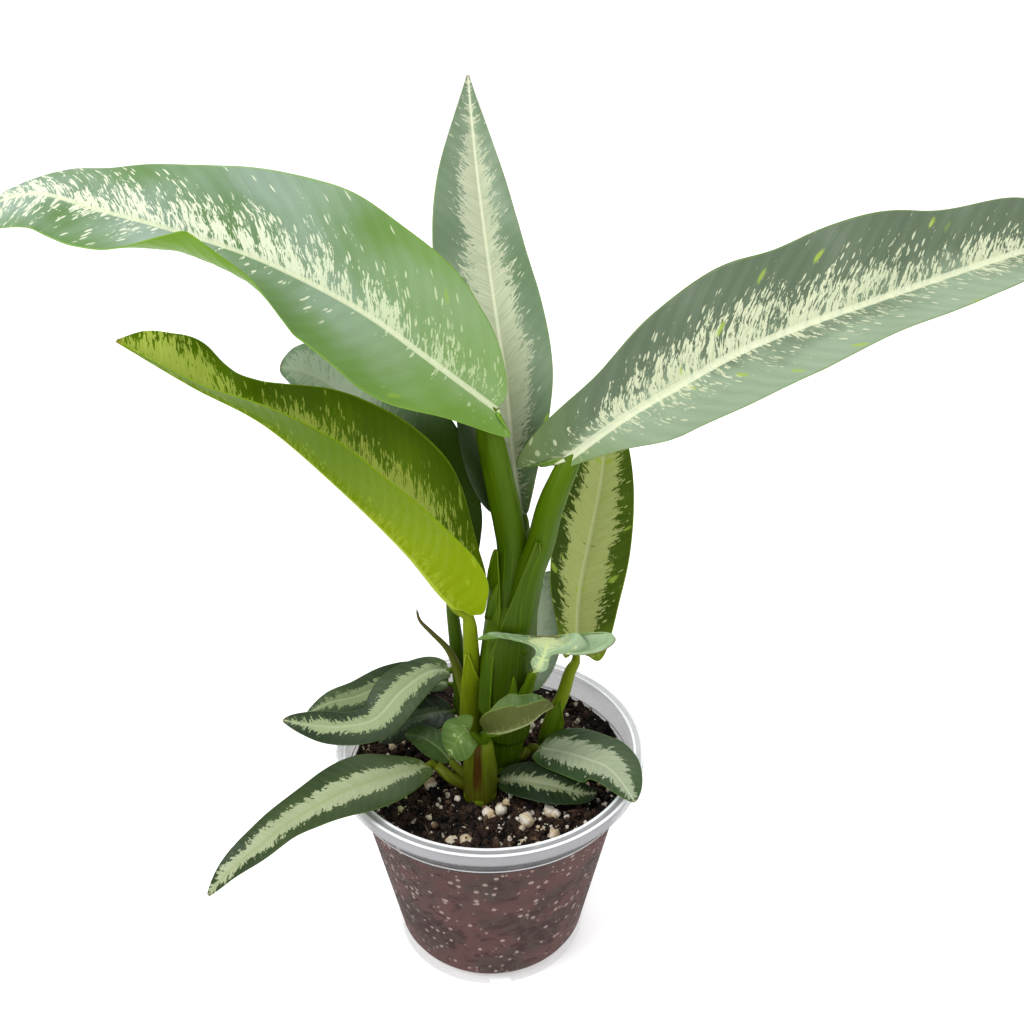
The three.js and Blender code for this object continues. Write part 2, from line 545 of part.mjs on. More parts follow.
function soilWithGrains() {
  let soil = grainGeometries().map(solid).reduce((sum, next) => sum.add(next),
    solid(soilGeometry()));
  for (const [x, y, radius] of Object.values(PEGS)) {
    const reach = radius + GAP + 0.15;
    const depth = PEG_DEPTH + 14;
    const hole = new THREE.CylinderGeometry(reach, reach, depth, 16).rotateX(Math.PI / 2)
      .translate(x, y, SOIL_TOP - PEG_DEPTH - GAP + depth / 2);
    soil = soil.subtract(solid(hole));
  }
  return geometryOf(largest(soil));
}

// Shoots: each has a round peg in the mix, and what grows from it
const SHOOTS = {
  shoot_main: () => [
    pegLimb('shoot_main', 94),
    limbGeometry([[6, 3, 86], [7, 0, 108], [8, -2, 140], [8, -3, 165], [10, -3, 190]],
      [[7, 7], [9, 8], [10, 7.5], [9.5, 7], [5, 4]], 14, 12),
    limbGeometry([[5, -3, 150], [9, -2, 188], [8, -3, 205], [3, -5, 233], [1, -6, 246],
      ...seat('leaf_upper_left')], [[5, 4.5], [6, 5], [5.8, 5], [5.8, 4.5], [5.2, 4], [3.6, 3]]),
    limbGeometry([[12, -5, 150], [15, -6, 181], [20, -5, 198], [24, -4, 215],
      ...seat('leaf_upper_right')], [[5, 4.5], [6, 5], [5.5, 5], [5, 4.5], [3.6, 3]]),
    limbGeometry([[10, 0, 150], [12, 4, 180], ...seat('leaf_upper_middle')],
      [[4, 4], [3.5, 3.5], [2.4, 2.2]], 10, 6),
    limbGeometry([[10, -4, 120], [15, -11, 134], ...seat('leaf_ruffled')],
      [[3, 3], [2.4, 2.4], [1.6, 1.6]], 8, 5),
    limbGeometry([[9, 1, 89], [15, -1, 93], ...seat('leaf_front_right')],
      [[3, 3], [2.4, 2.4], [1.8, 1.6]], 8, 4),
    limbGeometry([[9, 7, 92], [13, 17, 97], ...seat('leaf_behind')],
      [[3, 3], [2.4, 2.4], [1.6, 1.6]], 8, 5),
    ...SHEATH_TIPS.map((path) => limbGeometry(path, [[2.6, 1], [2, 0.8], [0.4, 0.3]], 6, 4)),
  ],
  shoot_left: () => [
    pegLimb('shoot_left', 92),
    limbGeometry([[-7, 16, 86], [-7, 10, 108], [-7, 2, 130], [-7, -5, 152],
      ...seat('leaf_young_left')], [[5.2, 5.2], [5, 4.8], [4.5, 4.2], [4, 3.8], [3, 2.6]]),
    limbGeometry([[-9, 17, 92], [-12, 15, 115], [-14, 14, 141], ...seat('leaf_behind_left')],
      [[4, 4], [3.5, 3.5], [3, 3], [2.2, 2]], 10, 10),
    limbGeometry([[-11, 15, 104], [-14, 17, 114], ...seat('leaf_low_left')],
      [[2.6, 2.6], [2.2, 2.2], [1.8, 1.6]], 8, 4),
    limbGeometry([[-10, 18, 92], [-15, 24, 101], ...seat('leaf_low_left_back')],
      [[2.6, 2.6], [2, 2], [1.5, 1.4]], 8, 4),
    limbGeometry([[-8, 18, 88], [-12, 20, 94], ...seat('leaf_low_left_under')],
      [[2.6, 2.6], [2, 2], [1.5, 1.4]], 8, 3),
    limbGeometry([[-12, 12, 118], [-16, 7, 139], [-21, 2, 155], [-26, 0, 167]],
      [[2.2, 1.6], [1.6, 1.2], [1.1, 0.8], [0.4, 0.4]], 8, 8),
  ],
  shoot_right: () => [
    pegLimb('shoot_right', 92),
    limbGeometry([[24, 8, 84], [27, 9, 104], [31, 12, 114], [34, 17, 122], ...seat('leaf_right')],
      [[4.6, 4.6], [4.4, 3.8], [3, 3], [2.6, 2.6], [2, 2]]),
  ],
  shoot_front: () => [
    pegLimb('shoot_front', 90),
    limbGeometry([[-4, -15, 82], [-4, -16, 101], [-3, -18, 116]],
      [[7, 7], [7, 6.5], [4.5, 4]], 14, 5),
    limbGeometry([[-3, -17, 112], ...seat('leaf_folded', 2)], [[3, 3], [2, 1.8]], 8, 4),
    limbGeometry([[-3, -17, 112], ...seat('leaf_folded_left', 1.5)], [[3, 3], [1.2, 1.2]], 8, 4),
    limbGeometry([[-6, -14, 86], [-16, -15, 92], ...seat('leaf_front_left')],
      [[3, 3], [2.4, 2.4], [1.8, 1.7]], 8, 5),
    limbGeometry([[-7, -12, 86], ...seat('leaf_front_left_back')],
      [[2.6, 2.6], [1.4, 1.4]], 8, 3),
    limbGeometry([[-2, -14, 86], ...seat('leaf_front_right_under')],
      [[2.6, 2.6], [1.4, 1.3]], 8, 3),
  ],
};

// Colours and finishes
const finish = (colour, roughness, extra = {}) =>
  new THREE.MeshStandardMaterial({ color: colour, roughness, metalness: 0, ...extra });

const group = new THREE.Group();
function add(name, geometry, material) {
  const mesh = new THREE.Mesh(geometry, material);
  mesh.name = name;
  group.add(mesh);
}

add('pot', potGeometry(), finish(0xdfe5ea, 0.2, { transparent: true, opacity: 0.35 }));
add('soil', soilWithGrains(), finish(0x2b201a, 0.95));
for (const [name, limbs] of Object.entries(SHOOTS)) {
  add(name, geometryOf(fuse(limbs())), finish(0x5f8a2e, 0.4));
}
for (const [name, leaf] of Object.entries(LEAVES)) {
  add(name, bladeGeometry(leaf), finish(leaf.colour, 0.45));
}

export default group;
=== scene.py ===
import math
import random

import bpy
import numpy as np
from mathutils import Euler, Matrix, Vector, noise


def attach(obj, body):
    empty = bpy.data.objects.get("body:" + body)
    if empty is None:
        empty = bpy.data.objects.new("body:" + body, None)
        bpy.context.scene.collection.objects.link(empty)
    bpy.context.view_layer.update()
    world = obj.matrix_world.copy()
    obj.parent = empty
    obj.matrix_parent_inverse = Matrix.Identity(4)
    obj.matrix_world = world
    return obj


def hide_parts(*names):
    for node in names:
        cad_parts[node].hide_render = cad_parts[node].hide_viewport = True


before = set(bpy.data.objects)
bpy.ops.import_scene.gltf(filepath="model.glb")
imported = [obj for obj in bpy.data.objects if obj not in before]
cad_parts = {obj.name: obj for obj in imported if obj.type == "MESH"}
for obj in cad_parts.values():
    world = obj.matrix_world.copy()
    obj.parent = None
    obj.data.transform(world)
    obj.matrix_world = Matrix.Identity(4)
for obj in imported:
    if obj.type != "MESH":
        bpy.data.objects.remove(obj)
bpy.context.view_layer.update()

# A potted dieffenbachia: clear nursery pot, potting mix, four shoots and seventeen leaves.
# Tables are in millimetres, meshes in metres. +Z is up and -Y is the front.
MM = 0.001

# Pot
POT_HEIGHT = 98
RIM_RADIUS = 65
RIM_SKIRT = 5.5
COLLAR_RADIUS = 61
LEDGE = 85
WALL_TOP_RADIUS = 58
BASE_RADIUS = 42.5
WALL_FOOT = 5.3
FLOOR_LIFT = 3.2
FLOOR = 1.2
PAD_RADIUS = 14
POT_SIDES = 128
DRAIN = {"count": 8, "radius": 3, "ring": 27, "depth": 8}
NOTCH = {"count": 4, "width": 9, "depth": 14, "height": 6.4, "first_degrees": -84}

# Potting mix: its top, the height up to which its side is painted as seen through the wall, and the
# height at which that has most dark patches, painted shade in hollows of the mix against the wall,
# and how finely it is divided. The gap between pieces that meet, the lower end of the shoots' round
# pegs, and each peg's x, y and radius
SOIL_TOP = 82.5
SIDE_TOP = 80
PATCH_HEIGHT = 34
SOIL_SIDES = 256
SOIL_RINGS = 64
GAP = 0.3
PEG_FOOT = 56.5
PEGS = {"main": (6, 3, 7), "left": (-7, 16, 5.2), "right": (24, 8, 4.6), "front": (-4, -15, 7)}

# Blades. Their thickness at the margin, and how much thicker they get towards the midrib. The
# quilting between side veins, the slow swell, and the groove over the midrib. The side veins' slant
# towards the tip, in mm for each mm outwards, and how it grows. A wave's middle and spread where it
# goes all along a margin. The share of the length at which the lobes reach back most, and that over
# which the trim is evened out. The half width past which a blade is large, and the rows and columns
# of large and of small blades.
MARGIN_THICKNESS = 0.34
BODY_THICKNESS = 0.26
QUILT_HEIGHT = 0.1
SWELL_HEIGHT = 0.3
SWELL_LENGTH = 31
GROOVE_DEPTH = 0.3
GROOVE_HALF = 1.1
VEIN_SLANT = 0.55
VEIN_CURVE = 0.011
ALL_ALONG = (0.5, 1)
LOBE_SHARE = 0.05
TRIM_BLUR = 0.03
LARGE_HALF = 14
LARGE_GRID = (150, 73)
SMALL_GRID = (90, 41)

# Leaves. rib: the midrib from base to tip. face: the way the upper side looks. half: the widest
# half width left and right. outline: how blunt the base and the tip are, less for blunter. fold:
# degrees each half is lifted, left at rib and margin, then right. wave: the margin's ruffle, its
# size, count and phase, and its middle and spread where it isn't all along. lobe: reach back past
# the stalk. heel: how round the lobes are, less for rounder. neck: half width at the stalk. keel:
# depth of the midrib below at the base. seat: how far along the midrib the stalk meets it. trim:
# what the half widths are multiplied by. ripple: folds across a half, height, count and phase.
# What a leaf doesn't say is as PLAIN_LEAF has it.
PLAIN_LEAF = dict(outline=(0.6, 0.8), wave=((0.3, 2, 0.1), (0.3, 2, 0.6)), lobe=(1, 1), keel=1,
    heel=0.9, seat=0, face=[(-0.1, -0.4, 0.9)], fold=[(15, 5, 15, 5)])
LEAVES = {
    "upper_left": dict(
        rib=[(4, -6, 253), (-17, -13, 273), (-40, -18, 293), (-67, -23, 310), (-92, -28, 321),
            (-116, -31, 329), (-132, -33, 334), (-148, -34, 330), (-164, -34, 319)],
        face=[(-0.35, -0.75, 0.5), (-0.25, -0.75, 0.6), (-0.15, -0.8, 0.6), (-0.3, -0.7, 0.6)],
        fold=[(30, 70, 0, -5), (26, 64, 2, -5), (22, 58, 5, -5), (21, 60, 5, -3), (20, 62, 5, 0),
            (31, 90, 2, -8), (33, 116, 0, -20), (24, 62, -10, -40), (10, 25, -20, -60),
            (10, 18, -25, -70), (10, 10, -30, -80)],
        trim=((0.3, 0.55, 0.87, 0.95, 0.82, 0.9, 1.25, 1, 0.85, 1.1, 1.1),
            (0.4, 0.85, 0.97, 0.97, 1.03, 0.98, 0.95, 1.05, 1.02, 1, 1)),
        half=(30, 31.5), outline=(0.5, 0.95), wave=((1, 2, 0.1), (0.8, 2, 0.4)), lobe=(16, 4), heel=0.6,
        neck=3.4, keel=4, seat=8),
    "upper_middle": dict(
        rib=[(13, 6, 205), (10, 10, 226), (7, 20, 254), (2, 34, 284), (-2, 46, 311), (-5, 58, 334),
            (-7, 68, 355)],
        face=[(0, -0.9, 0.35), (0, -0.9, 0.4), (0, -0.85, 0.5)],
        fold=[(40, 30, 40, 30), (30, 25, 30, 25), (30, 30, 30, 30)],
        trim=((1.9, 1.5, 1.12, 0.92, 0.8, 0.8, 0.98, 1.1, 1.12, 1.13, 1.2), (0.5, 0.8, 1.05, 1.07, 1.02,
            0.97, 0.91, 0.86, 0.92, 0.98, 0.9)),
        half=(25, 19.5), outline=(0.85, 1.15), wave=((0.8, 3, 0.2), (0.8, 3, 0.6)), lobe=(4, 4),
        neck=2.4, keel=2.4),
    "upper_right": dict(
        rib=[(29, -1, 231), (48, -4, 248), (66, -6, 261), (87, -8, 275), (108, -9, 285), (129, -9, 293),
            (150, -7, 300), (179, -4, 309), (211, 0, 316)],
        face=[(0.35, -0.75, 0.5), (0.25, -0.75, 0.6), (0.15, -0.8, 0.6)],
        fold=[(10, 15, 25, 35), (5, 0, 38, 52), (5, 0, 40, 54), (5, 0, 40, 54), (5, 0, 35, 45)],
        trim=((0.9, 0.93, 0.86, 0.72, 0.83, 0.9, 0.92, 0.94, 0.93, 0.83, 0.89, 0.95, 0.93, 0.92, 0.9,
            0.86, 0.86, 0.95, 0.97, 1, 1), (0.12, 0.42, 0.78, 0.84, 0.84, 0.78, 0.74, 0.74, 0.68, 0.7,
            0.8)),
        half=(32, 31), outline=(0.65, 0.75), wave=((2.6, 5, 0.1), (1, 3, 0.4)), lobe=(24, 6), heel=0.5,
        neck=3.4, keel=4, seat=9),
    "young_left": dict(
        rib=[(-6.5, -10.5, 170), (-15, -15, 182), (-28, -21, 205), (-49, -28, 234), (-71, -34, 260),
            (-92, -38, 275), (-113, -41, 291)],
        face=[(0.75, 0, 0.65), (0.7, 0, 0.7), (0.6, 0, 0.75)],
        fold=[(50, 52, 50, 45), (50, 52, 50, 45), (47, 45, 55, 55), (40, 30, 50, 40)],
        trim=((0.45, 0.95, 1.05, 1, 1, 1, 1, 1), (0.75, 0.7, 0.68, 0.72, 0.8, 0.87, 0.92, 0.94, 0.94,
            0.93, 0.92, 0.9, 0.87, 0.77, 0.6, 0.45, 0.65, 1.3, 1.8, 2.3, 5)),
        half=(30, 38), outline=(0.5, 1.15), wave=((1, 2, 0.1), (4, 4, 0.35, 0.8, 0.12)), lobe=(3, 5),
        neck=3, keel=2.6, seat=4),
    "behind_left": dict(
        rib=[(-17, 14, 164), (-23, 14, 189), (-35, 14, 224), (-51, 12, 249), (-60, 10, 258),
            (-67, 8, 262), (-74, 7, 264)],
        face=[(-0.1, -0.9, 0.3), (-0.1, -0.9, 0.3), (-0.1, -0.9, 0.4)],
        fold=[(20, 10, 20, 10), (15, 5, 15, 5), (5, 5, 5, 5)],
        trim=((0.5, 0.8, 1, 1, 1, 1, 1, 1, 0.9), (0.6, 0.9, 1, 1, 1, 0.95, 0.85, 0.8, 1)),
        half=(16, 28), outline=(0.6, 0.6), wave=((1, 2, 0.1), (1, 2, 0.6)), lobe=(4, 4), neck=2.2,
        keel=2),
    "right": dict(
        rib=[(37, 23, 129), (38, 32, 152), (42, 40, 173), (47, 52, 196), (49, 62, 215), (49, 70, 232)],
        face=[(0.05, -0.9, 0.4)],
        fold=[(20, 15, 20, 15), (15, 10, 15, 10), (15, 15, 15, 15)],
        trim=((0.5, 0.58, 0.75, 0.9, 0.97, 1, 1, 1, 1), (1, 1)),
        half=(18, 18), outline=(0.45, 0.9), wave=((0.8, 3, 0.1), (0.8, 3, 0.6)), lobe=(7, 8), neck=2,
        keel=1.8),
    "behind": dict(
        rib=[(17, 26, 106), (21, 28, 126), (23, 32, 144), (25, 36, 161)],
        face=[(0, -0.9, 0.3), (0, -0.9, 0.4), (0, -0.8, 0.5)],
        fold=[(15, 10, 15, 10)],
        half=(9, 9), outline=(0.6, 0.7), neck=1.6),
    "ruffled": dict(
        rib=[(18, -18, 147), (19, -20.5, 151), (20.5, -21, 155), (22, -19.5, 158.5), (23, -16.5, 160.5),
            (23.5, -13, 161)],
        face=[(0, -0.9, 0.3), (0, -0.8, 0.5), (0, -0.2, 0.9), (0, 0.2, 0.9)],
        fold=[(20, 0, 20, 0), (10, 8, 10, -20), (5, 0, 16, -70), (0, -2, 14, 0)],
        trim=((1, 2, 2, 1.4, 0.7, 0.3, 0.2, 0.3, 0.75, 1.05, 1.1),
            (1, 2, 2, 1.5, 0.7, 0.25, 0.15, 0.25, 0.7, 1.05, 1.1)),
        half=(27, 24), outline=(3.2, 0.5), ripple=((3, 1.4, 0.2), (5, 2, 0.35)),
        wave=((0.4, 2, 0.1), (0.4, 3, 0.6)), lobe=(0, 0), neck=1.6),
    "folded": dict(
        rib=[(0, -20, 120), (5, -24, 124), (10, -27, 128), (16, -27, 131), (21, -26, 135),
            (25, -24, 136)],
        face=[(-0.5, 0, 0.8), (-0.3, 0, 0.9), (-0.3, 0, 0.9)],
        fold=[(45, 40, 75, 85), (45, 40, 75, 85), (45, 40, 65, 75)],
        half=(13, 12), outline=(0.5, 0.6), wave=((0.5, 1, 0.1), (0.8, 1, 0.6)), lobe=(2, 0), neck=2),
    "folded_left": dict(
        rib=[(-7, -23.2, 122.6), (-8.3, -26, 126), (-11.5, -29, 125), (-15.5, -29, 116)],
        face=[(0, -0.6, 0.8), (-0.3, -0.6, 0.7), (-0.6, -0.7, 0.4)],
        fold=[(0, -10, 0, -10)],
        half=(8, 8.5), outline=(0.5, 0.45), wave=((0.2, 1, 0.1), (0.2, 1, 0.6)), lobe=(0, 0), neck=1.4,
        keel=0.3),
    "low_left": dict(
        rib=[(-18, 19, 122), (-26, 15, 124), (-37, 7, 120), (-46, -2, 114), (-53, -6, 113),
            (-64, -8, 113), (-75, -9, 115), (-84, -10, 118)],
        trim=((1, 1), (1, 1, 1, 1, 0.85, 0.6, 0.62, 0.8, 1, 1.3)),
        fold=[(15, 0, 15, 0), (10, 0, 10, 0), (15, 10, 15, 10)],
        half=(11, 11), wave=((0.8, 2, 0.1), (0.8, 2, 0.6)), lobe=(2, 2), neck=1.8, keel=1.2),
    "low_left_back": dict(
        rib=[(-19, 28, 108), (-32, 29, 111), (-45, 25, 110.5), (-58, 19, 108), (-69, 16, 107),
            (-79, 12, 104)],
        half=(11, 8), neck=1.5),
    "low_left_under": dict(
        rib=[(-17, 20, 99), (-22, 17, 101), (-28, 14, 102), (-37, 12, 99), (-48, 6, 93)],
        half=(10, 10), neck=1.5),
    "front_left": dict(
        rib=[(-26, -14, 98), (-37, -26, 104), (-46, -34, 107), (-56, -41, 108), (-66, -48, 107),
            (-76, -54, 104), (-85, -61, 100), (-95, -68, 95), (-103, -74, 88)],
        face=[(-0.2, -0.3, 0.9), (-0.2, -0.3, 0.9), (-0.3, -0.4, 0.8)],
        trim=((1.3, 1.45, 1.45, 1.25, 0.95, 0.8, 0.8, 0.85, 0.95),
            (1.1, 1.25, 1.25, 1.1, 0.95, 0.85, 0.85, 0.9, 1)),
        fold=[(15, 0, 15, 0), (10, 0, 10, 0), (15, 10, 15, 10)],
        half=(11, 12), wave=((0.6, 2, 0.1), (0.6, 2, 0.6)), lobe=(2, 2), neck=1.8, keel=1.4),
    "front_left_back": dict(
        rib=[(-17, -6, 94), (-22, -3, 98), (-29, 0, 101), (-36, 2, 101)],
        half=(6, 6), neck=1.4),
    "front_right": dict(
        rib=[(21, -2, 97), (32, -11, 102), (41, -19, 105), (47, -24, 106), (52, -32, 106),
            (57, -41, 103)],
        face=[(0.1, -0.3, 0.9), (0.1, -0.2, 0.9), (0.3, -0.3, 0.9)],
        fold=[(10, 0, 10, 0), (5, -10, 5, -10), (10, 0, 10, 0)],
        half=(16, 12), outline=(0.5, 0.7), wave=((0.4, 2, 0.1), (0.4, 2, 0.6)), lobe=(2, 2), neck=1.8,
        keel=1.2),
    "front_right_under": dict(
        rib=[(4, -13, 89), (11, -15, 91), (20, -18, 92), (29, -21, 92), (38, -23, 91), (44, -22, 90)],
        face=[(0, -0.3, 0.9)],
        fold=[(10, 5, 10, 5)],
        half=(9, 9), outline=(0.55, 0.75), neck=1.4, keel=0.8),
}

# What is painted on each leaf. deep and fresh: its two greens. cream: the pale colour. veil: the
# green lines in the cream, and vein: how strong they are. rib: the midrib, and line: half the
# width of its line in mm. glow: the bright green of base and margin, and base: how far it reaches.
# reach: how far the cream goes out from the midrib, as a share of the half width, from base to
# tip, left and right. feather: length in mm of the streaks at its edge. dash: how many loose
# dashes lie outside it. fleck: how many yellow-green flecks. sheen_tilt: how much fresher the
# right half is than the left, a painted sheen. fine: how fine the streaks are. blunt: how short.
# step: mm between side veins, which also quilt the blade and set its bands of painted light and
# shade. solid: how unbroken the cream is. shine: how glossy. under: the lower side, and
# under_tip: that side near the tip. scorch: the brown of a dried margin. painted_shadow: a dark
# green painted on a blade's foot as the shadow of the leaves above, the shares of its length
# between which it fades, and how much further it goes on the left. What a leaf doesn't say is as
# PLAIN_PAINT has it.
PLAIN_PAINT = dict(dash=0.3, fleck=0, vein=0.4, shine=0.2, sheen_tilt=0, fine=0.85, line=0.6, solid=0.34,
    blunt=0.3, base=0.13)
PAINTS = {
    "upper_left": dict(
        reach=((-0.3, -0.3, -0.3, -0.25, -0.15, -0.05, 0.4, 0.75, 0.9),
            (0.1, 0.3, 0.38, 0.34, 0.42, 0.46, 0.62, 1, 1.1)),
        deep=(0.1, 0.21, 0.045), fresh=(0.24, 0.33, 0.25), cream=(0.8, 0.85, 0.64),
        veil=(0.46, 0.56, 0.32), rib=(0.7, 0.76, 0.5), glow=(0.18, 0.34, 0.02), feather=9, dash=0.35,
        fleck=0.04, vein=0.2, under=(0.15, 0.3, 0.002), shine=0.35, sheen_tilt=0.12, fine=1.1, step=6.5,
        line=1.0, solid=0.12, base=0.55),
    "upper_middle": dict(
        reach=((0.5, 0.48, 0.48, 0.46, 0.42, 0.34, 0.3), (0.4, 0.44, 0.52, 0.48, 0.42, 0.34, 0.3)),
        deep=(0.13, 0.205, 0.11), fresh=(0.225, 0.3, 0.2), cream=(0.56, 0.6, 0.43),
        veil=(0.34, 0.4, 0.24), rib=(0.72, 0.75, 0.55), glow=(0.14, 0.22, 0.03), feather=3.4, dash=0.35,
        fleck=0.04, vein=0.6, under=(0.1, 0.19, 0.03), shine=0.35, fine=1.4, step=6, line=0.8,
        painted_shadow=((0.03, 0.055, 0.012), -0.03, 0.17, 0.35)),
    "upper_right": dict(
        reach=((0.36, 0.42, 0.44, 0.42, 0.36, 0.32, 0.3), (0, 0.1, 0.14, 0.14, 0.14, 0.14, 0.15)),
        deep=(0.1, 0.14, 0.085), fresh=(0.25, 0.33, 0.22), cream=(0.62, 0.66, 0.45),
        veil=(0.36, 0.43, 0.25), rib=(0.72, 0.76, 0.54), glow=(0.12, 0.2, 0.02), feather=8, dash=0.35,
        fleck=0.14, vein=0.5, under=(0.1, 0.2, 0.01), shine=0.22, sheen_tilt=0.42, fine=1.1, step=6.5,
        line=1.5, solid=0.14),
    "young_left": dict(
        reach=((0.12, 0.12, 0.08, 0.1, 0.3), (0.72, 0.66, 0.52, 0.55, 0.95)),
        deep=(0.07, 0.13, 0.001), fresh=(0.115, 0.2, 0.003), cream=(0.4, 0.48, 0.08),
        veil=(0.24, 0.34, 0.02), rib=(0.36, 0.46, 0.04), glow=(0.2, 0.32, 0.006), feather=5, dash=0.45,
        fleck=0.3, vein=0.3, under=(0.25, 0.34, 0.004), shine=0.06, sheen_tilt=-0.1,
        under_tip=(0.09, 0.16, 0.002), fine=1.1, step=5.5, line=0.8, solid=0.2),
    "behind_left": dict(
        reach=[(0.3, 0.35, 0.4, 0.5, 0.9)] * 2,
        deep=(0.21, 0.31, 0.19), fresh=(0.3, 0.4, 0.3), cream=(0.5, 0.58, 0.46),
        veil=(0.38, 0.47, 0.36), rib=(0.55, 0.6, 0.42), glow=(0.03, 0.06, 0.005), feather=4, fleck=0.05,
        under=(0.1, 0.18, 0.03), shine=0.05, fine=1.2, step=5.5, solid=0.2,
        painted_shadow=((0.026, 0.054, 0.003), 0.55, 0.85, 0)),
    "right": dict(
        reach=((0.62, 0.62, 0.64, 0.62, 0.5), (0.54, 0.56, 0.6, 0.56, 0.5)),
        deep=(0.035, 0.065, 0.003), fresh=(0.07, 0.12, 0.006), cream=(0.403, 0.459, 0.157),
        veil=(0.287, 0.356, 0.069), rib=(0.5, 0.54, 0.26), glow=(0.26, 0.36, 0.02), feather=3,
        dash=0.45, fleck=0.55, under=(0.1, 0.18, 0.02), shine=0.08, fine=1.3, step=5, line=0.9),
    "behind": dict(
        reach=((0.6, 0.6), (0.3, 0.3)),
        deep=(0.25, 0.35, 0.22), fresh=(0.36, 0.45, 0.33), cream=(0.5, 0.58, 0.44),
        veil=(0.4, 0.5, 0.35), rib=(0.5, 0.58, 0.42), glow=(0.2, 0.3, 0.1), feather=3, dash=0.2,
        under=(0.2, 0.3, 0.18), fine=1.5, step=4, solid=0.3),
    "ruffled": dict(
        reach=((0.9, 0.9, 0.6, 0.4, 0.2), (0.9, 0.9, 0.5, 0.3, 0.15)),
        deep=(0.22, 0.33, 0.16), fresh=(0.35, 0.46, 0.29), cream=(0.52, 0.6, 0.3),
        veil=(0.36, 0.46, 0.2), rib=(0.55, 0.64, 0.28), glow=(0.36, 0.5, 0.1), feather=5, fleck=0.1,
        under=(0.12, 0.22, 0.02), fine=1.4, step=4, scorch=(0.16, 0.08, 0.03), line=0.7, solid=0.2),
    "folded": dict(
        reach=((0.3, 0.3, 0.25, 0.2), (0.1, 0.15, 0.15, 0.1)),
        deep=(0.06, 0.12, 0.02), fresh=(0.13, 0.2, 0.06), cream=(0.34, 0.42, 0.18),
        veil=(0.2, 0.28, 0.09), rib=(0.4, 0.47, 0.2), glow=(0.2, 0.28, 0.05), feather=3, fleck=0.1,
        vein=0.35, under=(0.07, 0.065, 0.014), fine=1.6, step=3.6, line=0.7, solid=0.2),
    "folded_left": dict(
        reach=((-0.2, 0, -0.1, -0.6), (-0.1, 0.1, -0.1, -0.6)),
        deep=(0.05, 0.1, 0.015), fresh=(0.1, 0.165, 0.035), cream=(0.32, 0.4, 0.17),
        veil=(0.2, 0.28, 0.1), rib=(0.16, 0.24, 0.06), glow=(0.15, 0.24, 0.03), feather=3, fleck=0.1,
        vein=0.35, under=(0.1, 0.17, 0.03), fine=1.5, step=3.4, line=0.4, solid=0.1),
    "low_left": dict(
        reach=[(0.46, 0.5, 0.46, 0.4, 0.3)] * 2,
        deep=(0.018, 0.036, 0.014), fresh=(0.05, 0.08, 0.032), cream=(0.312, 0.375, 0.2),
        veil=(0.188, 0.25, 0.112), rib=(0.4, 0.46, 0.27), glow=(0.08, 0.13, 0.02), feather=1.5,
        under=(0.09, 0.15, 0.04), shine=0.22, blunt=0.6, step=3.6, line=0.7),
    "low_left_back": dict(
        reach=[(0.4, 0.44, 0.4)] * 2,
        deep=(0.018, 0.036, 0.012), fresh=(0.045, 0.075, 0.025), cream=(0.2, 0.25, 0.12),
        veil=(0.12, 0.17, 0.07), rib=(0.3, 0.36, 0.2), glow=(0.06, 0.11, 0.02), feather=1.4,
        under=(0.08, 0.14, 0.03), blunt=0.6, step=3.6),
    # This leaf's colours are a much darker copy of the other low leaves' paint: painted shade under the
    # leaves above it
    "low_left_under": dict(
        reach=[(0.3, 0.35, 0.25)] * 2,
        deep=(0.01, 0.02, 0.007), fresh=(0.02, 0.038, 0.015), cream=(0.075, 0.11, 0.055),
        veil=(0.04, 0.07, 0.03), rib=(0.13, 0.17, 0.09), glow=(0.04, 0.08, 0.015), feather=1.3,
        under=(0.06, 0.1, 0.03), blunt=0.6, step=3.6, solid=0.3),
    "front_left": dict(
        reach=((0.34, 0.42, 0.46, 0.48, 0.48), (0.3, 0.38, 0.44, 0.5, 0.5)),
        deep=(0.018, 0.038, 0.008), fresh=(0.042, 0.07, 0.02), cream=(0.36, 0.41, 0.24),
        veil=(0.19, 0.24, 0.11), rib=(0.3, 0.34, 0.16), glow=(0.07, 0.12, 0.015), feather=1.6,
        vein=0.45, under=(0.09, 0.15, 0.03), blunt=0.6, step=4, line=0.7),
    "front_left_back": dict(
        reach=[(0, 0)] * 2,
        deep=(0.02, 0.045, 0.008), fresh=(0.04, 0.08, 0.015), cream=(0.08, 0.13, 0.04),
        veil=(0.06, 0.1, 0.03), rib=(0.12, 0.18, 0.06), glow=(0.06, 0.1, 0.015), feather=1.8, dash=0.2,
        vein=0.3, under=(0.08, 0.14, 0.03), fine=1.6, step=3.4, line=0.5, solid=0.2),
    "front_right": dict(
        reach=((0.46, 0.52, 0.5, 0.4), (0.46, 0.56, 0.56, 0.4)),
        deep=(0.022, 0.05, 0.014), fresh=(0.055, 0.09, 0.035), cream=(0.34, 0.39, 0.26),
        veil=(0.2, 0.26, 0.14), rib=(0.46, 0.51, 0.36), glow=(0.09, 0.17, 0.025), feather=1.8, dash=0.4,
        vein=0.45, under=(0.1, 0.17, 0.03), shine=0.22, blunt=0.6, step=4, line=0.7, solid=0.3),
    "front_right_under": dict(
        reach=[(0.3, 0.36, 0.34, 0.2)] * 2,
        deep=(0.01, 0.022, 0.007), fresh=(0.025, 0.042, 0.014), cream=(0.24, 0.28, 0.15),
        veil=(0.14, 0.17, 0.08), rib=(0.28, 0.32, 0.18), glow=(0.04, 0.08, 0.015), feather=1.3,
        dash=0.35, vein=0.45, under=(0.08, 0.13, 0.03), blunt=0.6, step=3.4, solid=0.3),
}

# Each leaf with all that it doesn't say itself
for table, plain in ((LEAVES, PLAIN_LEAF), (PAINTS, PLAIN_PAINT)):
    for name, entry in table.items():
        table[name] = {**plain, **entry}

# Shader maths


